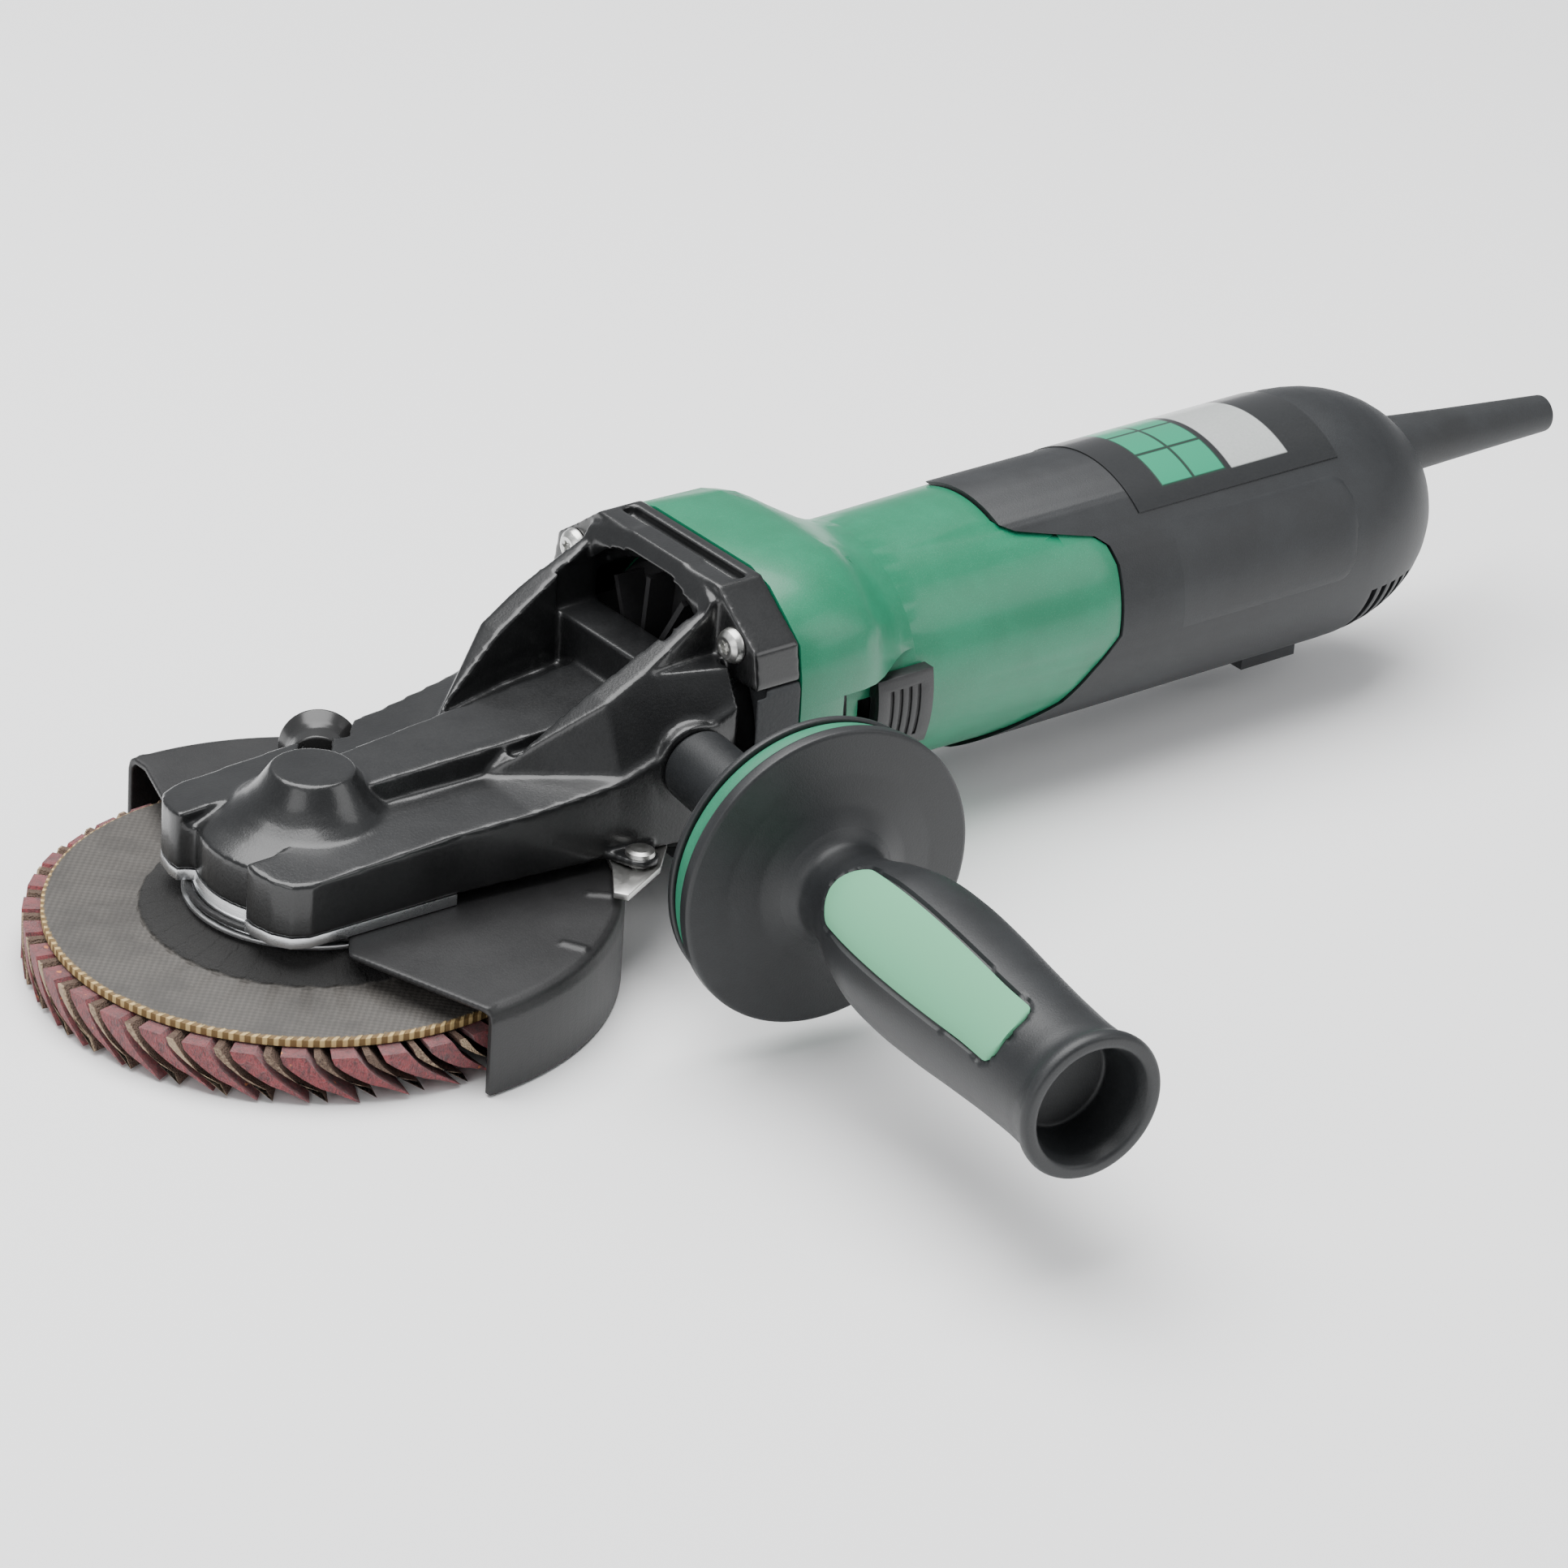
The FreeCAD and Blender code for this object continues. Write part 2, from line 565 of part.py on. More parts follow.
def make_collar():
    """Flange collar with its arched bridge over the window and the groove behind it."""
    collar = plate(symmetric(case_section()), FLANGE_FRONT, JOINT_X, "yz")
    collar = collar.common(box(FLANGE_FRONT, JOINT_X, -60, 60, 54.0, 90))
    arch = [(25.0, 54.0), (26.5, 66.0), (25.0, 69.5), (19.0, 71.9), (10.0, 73.8)]
    bridge = plate(symmetric(arch), BRIDGE_X, FLANGE_FRONT + 5.6, "yz")
    groove = box(96.6, 100.2, -21.0, 21.0, CASE_TOP - 2.6, 90.0)
    return bridge.fuse(collar.cut(groove))


def make_gear_body():
    ridge = loft([[V(x, -half - 4.5, HEAD_BOTTOM), V(x, half + 4.5, HEAD_BOTTOM), V(x, half, ridge_top(x)),
                   V(x, -half, ridge_top(x))] for x, half in ((0.0, 7.0), (RIDGE_END, 12.0))])
    wall = box(RIDGE_END, 90.0, -20.0, 20.0, HEAD_BOTTOM, 53.0)
    drum = turned([(0, 0), (26.0, 0), (FAN_CHAMBER + DRUM_WALL, 6.0),
                   (FAN_CHAMBER + DRUM_WALL, JOINT_X - 83.0), (0, JOINT_X - 83.0)],
                  V(83.0, 0, MOTOR_Z), OUT_X)
    drum = drum.common(box(80, JOINT_X, -40, 40, CASE_BOTTOM, 69.0))
    body = fuse(make_flanks(), ridge, make_boss())
    body = fuse(body, wall.fuse(drum), make_collar())
    shelf = plate([(71.5, 24.6), (BRIDGE_X, 23.0), (FLANGE_FRONT, 23.0), (FLANGE_FRONT, 45.0), (71.5, 45.0)],
                  SCREW_SHELF, 95.0)
    bridge_slope = plate([(80.0, 68.5), (BRIDGE_X, 68.5), (BRIDGE_X + 3.5, CASE_TOP + 1),
                          (80.0, CASE_TOP + 20)], -26.0, 26.0, "xz")
    return cut(body, shelf, mirrored(shelf), bridge_slope)


def handle_direction(side):
    lean, drop = math.radians(HANDLE_LEAN), math.radians(HANDLE_DROP)
    return V(-math.sin(lean) * math.cos(drop), side * math.cos(lean) * math.cos(drop), -math.sin(drop))


def handle_seat(side):
    return V(HANDLE_SEAT[0], side * HANDLE_SEAT[1], HANDLE_SEAT[2])


def lock_direction():
    angle = math.radians(LOCK_AZIMUTH)
    return V(math.cos(angle), math.sin(angle), 0)


def make_gear_housing():
    body = make_gear_body()
    for side in (-1, 1):
        inward = handle_direction(side) * -16.0
        pad = rod(PAD_RADIUS, handle_seat(side) + inward, 16.0, handle_direction(side))
        body = body.fuse(pad)
    ear = fuse(plate([(55.0, -25.0), (73.0, -25.0), (67.2, -36.5), (58.8, -36.5)],
                     HEAD_BOTTOM, HEAD_BOTTOM + 2),
               rod(4.2, V(LEVER_PIVOT[0], LEVER_PIVOT[1], HEAD_BOTTOM), 2.0))
    body = body.fuse(ear)
    gear_room = turned([(0, HEAD_BOTTOM - 1), (15.5, HEAD_BOTTOM - 1), (15.5, 34.2), (13.6, 34.9),
                        (9.0, UPPER_BEARING_Z - 0.4), (0, UPPER_BEARING_Z - 0.4)])
    top_seat = rod(UPPER_BEARING[1], V(0, 0, UPPER_BEARING_Z - 1), UPPER_BEARING[2] + 1.2)
    lay_bore = rod(LAY_BEARING[1], V(5.0, 0, LAY_Z), SPUR_X + SPUR_WIDTH + 3 - 5.0, OUT_X)
    spur_room = rod(MOTOR_PITCH + 1.6, V(SPUR_X - 2, 0, MOTOR_Z), SPUR_WIDTH + 4.5, OUT_X)
    arbor_bore = rod(ARBOR_RADIUS + 1.0, V(SPUR_X, 0, MOTOR_Z), 30.0, OUT_X)
    bearing_seat = rod(FRONT_BEARING[1], V(FRONT_BEARING_X, 0, MOTOR_Z), 12.0, OUT_X)
    fan_room = rod(FAN_CHAMBER, V(90.5, 0, MOTOR_Z), 20.0, OUT_X)
    window = plate(symmetric(list(WINDOW)), 78.0, 93.0, "yz")
    body = cut(body, gear_room, top_seat, lay_bore, spur_room, arbor_bore, bearing_seat, fan_room, window)
    for side in (-1, 1):
        direction = handle_direction(side)
        body = body.cut(rod(PAD_RADIUS + 0.1, handle_seat(side), 30.0, direction))
        body = body.cut(rod(STUD_RADIUS, handle_seat(side) - direction * SOCKET_DEPTH, 20.0, direction))
        body = body.cut(rod(SCREW_RADIUS + GAP, V(80, side * SCREW_Y, UPPER_SCREW_Z), 40.0, OUT_X))
    lock = lock_direction()
    axis_point = V(0, 0, LAY_Z)
    body = cut(body, rod(LOCK_PIN + SLIDE, axis_point, 60.0, lock),
               rod(LOCK_STEM + SLIDE, axis_point + lock * (LOCK_SEAT - 5), 60.0, lock),
               rod(LOCK_RIM + 0.5, axis_point + lock * LOCK_POCKET, 60.0, lock))
    for x, y in cover_screw_places():
        body = body.cut(rod(1.5 + PRESS, V(x, y, HEAD_BOTTOM - 1), COVER_SCREW_LENGTH - 1.0))
    x, y = LEVER_PIVOT
    return body.cut(rod(LEVER_PIN, V(x, y, HEAD_BOTTOM - 1), 5.0))


def cover_screw_places():
    return [(-17.5, -22.3), (-17.5, 22.3), (19.5, -17.5), (19.5, 17.5)]


def make_bearing_cover():
    top, bottom = HEAD_BOTTOM - PRESS, HEAD_BOTTOM - COVER_THICK
    outline = [(x, y) for x, y in head_outline() if x < COVER_REAR - 3]
    outline = outline[:len(outline) // 2 + 1] + [(COVER_REAR, 20.0), (COVER_REAR, -20.0)] + \
        outline[len(outline) // 2 + 1:]
    slab = plate(outline, bottom, top)
    neck = rod(GUARD_NECK - GAP, V(0, 0, COVER_RING_Z), bottom - COVER_RING_Z)
    rim = rod(COVER_RING, V(0, 0, COVER_RING_Z), GUARD_TOP - GUARD_SHEET - GAP - COVER_RING_Z)
    cup = rod(12.2, V(0, 0, bottom), CUP_TOP - bottom)
    cover = fuse(slab, neck, rim, cup)
    cover = cut(cover, rod(LOWER_BEARING[1], V(0, 0, LOWER_BEARING_Z), 20.0),
                rod(SHAFT_RADIUS + 3.4 + SLIDE, V(0, 0, 0), 40.0),
                rod(FLANGE_RADIUS + 1.0, V(0, 0, 0), FLANGE_Z + FLANGE_THICK + SLIDE),
                rod(24.3, V(0, 0, 0), FLANGE_Z + 0.5))
    for x, y in cover_screw_places():
        cover = cut(cover, rod(1.8, V(x, y, bottom - 1), 8.0), rod(3.2, V(x, y, bottom - 1), 2.2))
    return cover


GUARD_TOP = HEAD_BOTTOM - COVER_THICK - GAP


def make_cover_screws():
    head_z = HEAD_BOTTOM - COVER_THICK + 0.1
    screws = []
    for x, y in cover_screw_places():
        head = rod(3.0, V(x, y, head_z), 1.1 - PRESS)
        head = head.cut(rod(1.3, V(x, y, head_z - 1), 1.7))
        screws.append(fuse(head, rod(1.5, V(x, y, head_z + 0.8), COVER_SCREW_LENGTH - 0.8)))
    return Part.makeCompound(screws)


def make_case_screws():
    """Four long screws that hold the gear housing and the air guide to the motor housing."""
    screws = []
    for side in (-1, 1):
        for height, seat in ((UPPER_SCREW_Z, FLANGE_FRONT), (LOWER_SCREW_Z, FLANGE_FRONT)):
            head = turned([(0, 0), (2.6, 0.3), (3.9, 1.5), (4.1, 3.0), (0, 3.0)],
                          V(seat - 3.0 - PRESS, side * SCREW_Y, height), OUT_X)
            head = head.cut(rod(1.4, V(seat - 4, side * SCREW_Y, height), 2.2, OUT_X))
            shank = rod(SCREW_RADIUS, V(seat - 1, side * SCREW_Y, height), JOINT_X + 13 - seat, OUT_X)
            screws.append(fuse(head, shank))
    return Part.makeCompound(screws)


def make_air_guide():
    """Dark collar around the lower half of the fan drum, between the two housings."""
    collar = plate(symmetric(case_section()), FLANGE_FRONT, JOINT_X, "yz")
    collar = collar.common(box(80, JOINT_X, -60, 60, -10, 54.0 - GAP))
    collar = collar.cut(rod(FAN_CHAMBER + DRUM_WALL + GAP, V(80, 0, MOTOR_Z), 40.0, OUT_X))
    flank_room = plate([(80, -38), (94.5, -38), (94.5, 38), (80, 38)], HEAD_BOTTOM - GAP, 60)
    collar = collar.cut(flank_room)
    for side in (-1, 1):
        collar = collar.cut(rod(SCREW_RADIUS + GAP, V(80, side * SCREW_Y, LOWER_SCREW_Z), 40.0, OUT_X))
        collar = collar.cut(rod(PAD_RADIUS + GAP, handle_seat(side) + handle_direction(side) * -16.0, 40.0,
                                handle_direction(side)))
    return collar


# ---- lock button and lever ------------------------------------------------------------------
def make_lock_pin():
    return rod(LOCK_PIN, V(0, 0, LAY_Z) + lock_direction() * (SHOULDER_RADIUS + 1.2), 28.0, lock_direction())


def make_lock_button():
    start = V(0, 0, LAY_Z) + lock_direction() * (LOCK_SEAT + LOCK_TRAVEL + 0.3)
    base = LOCK_SEAT + LOCK_TRAVEL + 0.3
    profile = [(LOCK_STEM, 0), (LOCK_STEM, 36.5 - base), (7.4, 38.2 - base),
               (LOCK_RIM, LOCK_FACE - 0.6 - base),
               (LOCK_RIM - 0.7, LOCK_FACE - base), (LOCK_RIM - 3.5, LOCK_FACE - 0.8 - base),
               (0, LOCK_FACE - 1.2 - base)]
    pin_end = SHOULDER_RADIUS + 1.2 + 28.0 - base + PRESS
    bore = LOCK_PIN + PRESS
    return turned([(bore, 0)] + profile + [(0, pin_end), (bore, pin_end)], start, lock_direction())


def make_lock_spring():
    """Coil spring behind the lock button, drawn as the sleeve it fills when pressed."""
    start = V(0, 0, LAY_Z) + lock_direction() * (LOCK_SEAT - 4.8)
    return ring(5.6, 4.4, start, 4.8, lock_direction())


def make_guard_lever():
    top = HEAD_BOTTOM - 0.2
    x, y = LEVER_PIVOT
    outline = [(x + 2.5, y - 4.2), (x + 11.0, y + 4.5), (x + 12.5, y + 9.5), (x + 6.0, y + 12.0),
               (x - 3.0, y + 9.0), (x - 6.0, y + 2.0), (x - 13.0, y - 8.0), (x - 11.0, y - 10.8)]
    lever = plate(outline, top - LEVER_THICK, top)
    return lever.cut(rod(LEVER_PIN + RUN, V(x, y, 0), 60.0))


def make_lever_rivet():
    x, y = LEVER_PIVOT
    top = HEAD_BOTTOM + 2
    bottom = HEAD_BOTTOM - 0.4 - LEVER_THICK
    shank = rod(LEVER_PIN - PRESS, V(x, y, bottom - 0.4), top + 0.5 - bottom + 0.4)
    foot = rod(3.4, V(x, y, bottom - 0.4), 0.4)
    head = turned([(0, 0), (3.4, 0), (3.2, 0.9), (2.2, 1.3), (0, 1.4)], V(x, y, top + PRESS))
    return fuse(foot, shank, head)


# ---- guard ------------------------------------------------------------------------------
def sector(radius, start, end, low, high):
    """Pie slice from start to end degrees."""
    steps = 24
    points = [(0.0, 0.0)]
    for number in range(steps + 1):
        angle = math.radians(start + (end - start) * number / steps)
        points.append((radius * math.cos(angle), radius * math.sin(angle)))
    return plate(points, low, high)


def make_guard():
    low = GUARD_TOP - GUARD_SHEET
    inside = GUARD_RADIUS - GUARD_SHEET
    shell = turned([(0, low), (inside - 1.4, low), (inside - 0.4, low - 0.5), (inside, low - 1.4),
                    (inside, GUARD_BOTTOM), (GUARD_RADIUS, GUARD_BOTTOM), (GUARD_RADIUS, low - 1.6),
                    (GUARD_RADIUS - 0.8, GUARD_TOP - 0.9), (GUARD_RADIUS - 2.6, GUARD_TOP), (0, GUARD_TOP)])
    shell = shell.common(sector(120.0, GUARD_START, GUARD_END, GUARD_BOTTOM - 1, GUARD_TOP + 1))
    apron = plate([(10.0, 0.0), (-11.9, -32.8), (-0.2, -GUARD_RADIUS + 0.6), (10.0, -60.0)], low, GUARD_TOP)
    apron = apron.common(rod(GUARD_RADIUS - 1.6, V(0, 0, low), GUARD_SHEET))
    neck = rod(COVER_RING - 0.6, V(0, 0, low), GUARD_SHEET)
    guard = fuse(shell, apron, mirrored(apron), neck)
    guard = guard.cut(rod(GUARD_NECK, V(0, 0, low - 30), 60.0))
    for azimuth in (-38.5, -60.5):
        bead = Part.makeBox(6.0, 1.6, 1.2, V(60.5, -0.8, GUARD_TOP - 0.7))
        bead.rotate(V(0, 0, 0), OUT_Z, azimuth)
        guard = guard.fuse(bead)
    return guard


# ---- housings ---------------------------------------------------------------------------
def case_reach(angle):
    """Distance from the motor axis to the case outline in one direction."""
    half = [(0.0, CASE_BOTTOM)] + case_section() + [(0.0, CASE_TOP)]
    across, up = abs(math.cos(angle)), math.sin(angle)
    for (y0, z0), (y1, z1) in zip(half, half[1:]):
        turn = across * (z1 - z0) - up * (y1 - y0)
        if abs(turn) < 1e-9:
            continue
        reach = (y0 * (z1 - z0) - (z0 - MOTOR_Z) * (y1 - y0)) / turn
        share = (reach * across - y0) / (y1 - y0) if abs(y1 - y0) > 1e-9 else \
            (reach * up + MOTOR_Z - z0) / (z1 - z0)
        if reach > 0 and -1e-6 <= share <= 1 + 1e-6:
            return reach
    raise ValueError("no case outline at %.1f degrees" % math.degrees(angle))


def case_ring(x, share, radius):
    """Closed outline between the case shape (share 1) and a round of the given radius (share 0)."""
    points = []
    outside = radius / math.cos(math.pi / RING_POINTS)
    for number in range(RING_POINTS):
        angle = 2 * math.pi * (number + 0.5) / RING_POINTS
        reach = outside + share * (case_reach(angle) - outside)
        points.append(V(x, reach * math.cos(angle), MOTOR_Z + reach * math.sin(angle)))
    return points


def front_edge():
    """Side view of the line where the rear housing starts, from top to bottom: x and height."""
    return [(179.0, 80.0), (179.0, 63.5), (182.0, 62.2), (202.0, 58.2), (205.0, 56.0), (206.0, 52.0),
            (204.7, 36.0), (197.6, 28.0), (192.0, 20.0), (177.0, 12.0), (171.0, 8.0), (171.0, -10.0)]


def rear_side(extra):
    """Everything behind the front edge, moved back by extra."""
    edge = [(x + extra, z) for x, z in front_edge()]
    return plate(edge + [(400.0, -10.0), (400.0, 80.0)], -60.0, 60.0, "xz")


def make_motor_housing():
    start = JOINT_X + GAP
    stations = [(start, 1.0), (SHOULDER_END, 0.97)]
    for step in range(1, 6):
        along = step / 6.0
        fade = along**2 * (3 - 2 * along)
        stations.append((SHOULDER_END + along * (GRIP_START - SHOULDER_END), 0.97 * (1 - fade)))
    shoulder = loft([case_ring(x, share, GRIP_RADIUS) for x, share in stations + [(GRIP_START, 0.0)]])
    grip = turned([(0, 0), (GRIP_RADIUS, 0), (GRIP_RADIUS + 1.0, 62.0), (0, 62.0)],
                  V(GRIP_START, 0, MOTOR_Z), OUT_X)
    outer = fuse(shoulder, grip.cut(rear_side(-GAP)))
    spigot = rod(REAR_RADIUS - REAR_WALL - RUN, V(160.0, 0, MOTOR_Z), SPIGOT_END - 160.0, OUT_X)
    outer = fuse(outer, spigot)
    bore = turned([(0, start - 1), (FAN_CHAMBER, start - 1), (FAN_CHAMBER, 117.0), (SHELL_INNER, 131.0),
                   (SHELL_INNER, SPIGOT_END + 1), (0, SPIGOT_END + 1)], V(0, 0, MOTOR_Z), OUT_X)
    scoop = box(116.0, 150.0, -60.0, -18.0, SLIDE_Z - 13.0, SLIDE_Z + 13.0)
    scoop = scoop.cut(rod(GRIP_RADIUS + 0.1, V(100.0, 0, MOTOR_Z), 60.0, OUT_X))
    slot = box(SLIDE_X + 5 - SLIDE_TRAVEL - SLIDE, SLIDE_X + 11 + SLIDE, -60.0, -20.0,
               SLIDE_Z - 4.5 - SLIDE, SLIDE_Z + 4.5 + SLIDE)
    housing = cut(outer, bore, scoop, slot)
    web = ring(SHELL_INNER + 0.3, REAR_BEARING[1] + 1.6, V(REAR_BEARING_X, 0, MOTOR_Z),
               REAR_BEARING[2], OUT_X)
    for number in range(4):
        window = box(REAR_BEARING_X - 1, REAR_BEARING_X + 8, 13.5, SHELL_INNER - 2.5, -8.5, 8.5)
        window.rotate(V(0, 0, 0), OUT_X, 45 + 90 * number)
        window.translate(V(0, 0, MOTOR_Z))
        web = web.cut(window)
    rod_room = box(REAR_BEARING_X - 1, REAR_BEARING_X + 8, -SHELL_INNER + 0.4, -STATOR_FLAT,
                   SLIDE_Z - 4.0 - SLIDE, SLIDE_Z + 4.0 + SLIDE)
    housing = fuse(housing, web.cut(rod_room))
    for x in REAR_SCREW_X:
        housing = housing.cut(rod(1.5 + PRESS, V(x, 0, 0), 12.0))
    for side in (-1, 1):
        for height in (UPPER_SCREW_Z, LOWER_SCREW_Z):
            hole_start = V(JOINT_X - 1, side * SCREW_Y, height)
            housing = housing.cut(rod(SCREW_RADIUS + RUN, hole_start, 16.0, OUT_X))
    return housing


def make_bearing_sleeve():
    """Rubber ring that holds the rear motor bearing in the web."""
    return ring(REAR_BEARING[1] + 1.6 - PRESS, REAR_BEARING[1], V(REAR_BEARING_X, 0, MOTOR_Z),
                REAR_BEARING[2], OUT_X)


def rear_solid(inset, start):
    """Barrel and rounded rear end about the motor axis, drawn in from the outside by inset."""
    radius = REAR_RADIUS - inset
    length = REAR_END - DOME_START - inset
    profile = [(0, start), (radius, start)]
    for step in range(DOME_STEPS):
        along = math.sin(math.pi / 2 * step / DOME_STEPS)
        profile.append((radius * math.sqrt(1 - along ** DOME_FULLNESS), DOME_START + length * along))
    return turned(profile + [(0, DOME_START + length)], V(0, 0, MOTOR_Z), OUT_X)


def make_rear_housing():
    shell = rear_solid(0.0, 160.0).cut(rear_solid(REAR_WALL, 150.0))
    shell = shell.common(rear_side(GAP))
    foot = box(262.0, 279.0, -12.0, 12.0, MOTOR_Z - REAR_RADIUS - 0.9, MOTOR_Z - REAR_RADIUS + 6.0)
    shell = shell.fuse(foot.cut(rod(REAR_RADIUS - 1.0, V(200, 0, MOTOR_Z), 100.0, OUT_X)))
    gland = rod(SLEEVE_ROOT + 2.4, V(SLEEVE_START - 1, 0, SLEEVE_Z), 9.0, OUT_X)
    shell = shell.fuse(gland.common(rear_solid(1.0, 200.0)))
    shell = shell.cut(sleeve_body(GAP * 0.5, False))
    for number in range(5):
        for side in (-1, 1):
            slot = box(286.0 + 3.6 * number, 288.0 + 3.6 * number, 2.0, 40.0, MOTOR_Z - 25.0, MOTOR_Z - 9.0)
            shell = shell.cut(slot if side > 0 else mirrored(slot))
    for x in REAR_SCREW_X:
        shell = cut(shell, rod(1.8, V(x, 0, 0), 30.0), rod(3.4, V(x, 0, 0), MOTOR_Z - REAR_RADIUS + 1.0))
    return shell


def make_rear_screws():
    """Two screws from below, through the rear housing into the motor housing's spigot."""
    seat = MOTOR_Z - REAR_RADIUS + 1.0
    screws = []
    for x in REAR_SCREW_X:
        head = rod(3.1, V(x, 0, seat - 1.6), 1.6 - PRESS)
        screws.append(fuse(head, rod(1.5, V(x, 0, seat - 1), 4.4)))
    return Part.makeCompound(screws)


def sleeve_axis():
    drop = math.radians(SLEEVE_DROP)
    return V(math.cos(drop), 0, -math.sin(drop))


def sleeve_body(extra, with_bore):
    """Bend sleeve: a collar inside the housing, a groove in its wall and a long taper."""
    length = SLEEVE_END - SLEEVE_START
    taper = [(SLEEVE_ROOT + 1.4 + extra, 0 - extra), (SLEEVE_ROOT + 1.4 + extra, 2.5 + extra),
             (SLEEVE_ROOT - 0.6 + extra, 2.5 + extra), (SLEEVE_ROOT - 0.6 + extra, 8.0),
             (SLEEVE_ROOT + extra, 9.5), (SLEEVE_TIP + extra, length), (0, length), (0, 0 - extra)]
    body = turned(taper, V(SLEEVE_START, 0, SLEEVE_Z), sleeve_axis())
    if with_bore:
        bore_start = V(SLEEVE_START, 0, SLEEVE_Z) - sleeve_axis()
        body = body.cut(rod(CORD_RADIUS, bore_start, length + 2, sleeve_axis()))
    return body


def make_cord_clamp():
    """Clamp plate that grips the cord inside, with its seat on the rear housing's floor."""
    base = box(284.0, 298.0, -11.0, 11.0, SLEEVE_Z - 8.6, SLEEVE_Z - 4.2)
    post = base.common(rear_solid(REAR_WALL + GAP, 200.0))
    bridge = box(287.0, 295.0, -11.0, 11.0, SLEEVE_Z + 3.9, SLEEVE_Z + 7.2)
    bridge = bridge.common(rear_solid(REAR_WALL + GAP, 200.0))
    return Part.makeCompound([post, bridge])


# ---- switch gear ---------------------------------------------------------------------------
def make_slide_switch():
    end = SLIDE_X + SLIDE_LENGTH
    pad = ring(GRIP_RADIUS + 3.6, GRIP_RADIUS + 0.4, V(SLIDE_X, 0, MOTOR_Z), SLIDE_LENGTH, OUT_X)
    low, high = SLIDE_Z - SLIDE_HEIGHT / 2, SLIDE_Z + SLIDE_HEIGHT / 2
    pad = pad.common(box(SLIDE_X, end, -60.0, 0.0, low, high))
    for number in range(4):
        groove_start = V(SLIDE_X + 3.5 + 2.6 * number, 0, MOTOR_Z)
        groove = ring(GRIP_RADIUS + 5, GRIP_RADIUS + 3.0, groove_start, 1.0, OUT_X)
        pad = pad.cut(groove.common(box(SLIDE_X, end, -60.0, 0.0, low + 3, high - 3)))
    stem = box(SLIDE_X + 5, SLIDE_X + 11, -GRIP_RADIUS - 1.6, -SHELL_INNER + 0.9,
               SLIDE_Z - 4.5, SLIDE_Z + 4.5)
    return fuse(pad, stem)


def make_switch_rod():
    """Flat bar that carries the slide's travel back past the stator to the switch."""
    inner = -STATOR_FLAT - 0.5
    bar = box(SLIDE_X + 3, 212.0, -SHELL_INNER + 1.2, inner - 0.2, SLIDE_Z - 4.0, SLIDE_Z + 4.0)
    hook = box(208.0, 212.0, -SHELL_INNER + 1.2, -14.0, SLIDE_Z - 4.0, SLIDE_Z + 4.0)
    return fuse(bar, hook).cut(box(184.0, 199.0, -40, -26.2, 0, 80))


def make_switch_block():
    block = box(215.5, 240.0, -17.0, 5.0, MOTOR_Z - 11.0, MOTOR_Z + 13.0)
    terminals = [box(240.0, 245.0, y, y + 1.0, MOTOR_Z - 6.0, MOTOR_Z + 2.0) for y in (-12.0, -4.0)]
    plunger = box(213.0, 215.5, -15.5, -11.0, SLIDE_Z - 3.0, SLIDE_Z + 3.0)
    return fuse(block, plunger, *terminals)


def make_control_board():
    tray = box(248.0, 278.0, -17.0, 17.0, MOTOR_Z - 14.0, MOTOR_Z + 9.0)
    tray = tray.cut(box(249.5, 276.5, -15.5, 15.5, MOTOR_Z - 12.0, MOTOR_Z + 10.0))
    return tray


def make_board_potting():
    return box(249.5 + PRESS, 276.5 - PRESS, -15.5 + PRESS, 15.5 - PRESS,
               MOTOR_Z - 12.0 + PRESS, MOTOR_Z + 7.0)


def make_label_plate():
    """Thin rating label laid on the crown of the rear housing."""
    band = ring(REAR_RADIUS + 0.35, REAR_RADIUS + PRESS, V(217.0, 0, MOTOR_Z), 62.0, OUT_X)
    return band.common(box(210, 290, -19.5, 19.5, MOTOR_Z + 10, 90))


# ---- side handle ---------------------------------------------------------------------------
def on_handle(profile, bore=0.0):
    """Turn a (distance from the seat, radius) profile about the handle's axis."""
    closed = [(radius, along) for along, radius in profile]
    closed = [(bore, profile[0][0])] + closed + [(bore, profile[-1][0])]
    return turned(closed, handle_seat(-1), handle_direction(-1))


def make_handle_stud():
    radius = STUD_RADIUS - PRESS
    return on_handle([(-STUD_DEPTH, radius - 0.6), (-STUD_DEPTH + 1, radius), (26.0, radius)])


def make_handle_neck():
    return on_handle([(0.2, NECK_RADIUS - 0.8), (1.0, NECK_RADIUS), (DISC_BACK - 4, NECK_RADIUS + 0.4),
                      (DISC_BACK, 15.0), (DISC_BACK + 0.8, REAR_DISC - 0.6), (DISC_BACK + 1.4, REAR_DISC),
                      (DISC_BACK + 2.6, REAR_DISC), (DISC_BACK + 2.6, 14.0 - PRESS), (52.0, 14.0 - PRESS)],
                     STUD_RADIUS + PRESS)


def make_damping_ring():
    return on_handle([(DISC_BACK + 2.6 + PRESS, REAR_DISC - 1.2), (49.5, REAR_DISC - 0.2),
                      (52.3 - PRESS, REAR_DISC - 1.2)], 14.0)


GRIP_PROFILE = [(61.5, 11.6), (64.5, 10.9), (70.0, 11.8), (78.0, 14.6), (87.0, 16.8), (98.0, 17.5),
                (111.0, 17.1), (125.0, 16.1), (139.0, 15.3), (150.0, 15.2), (155.0, 15.6)]


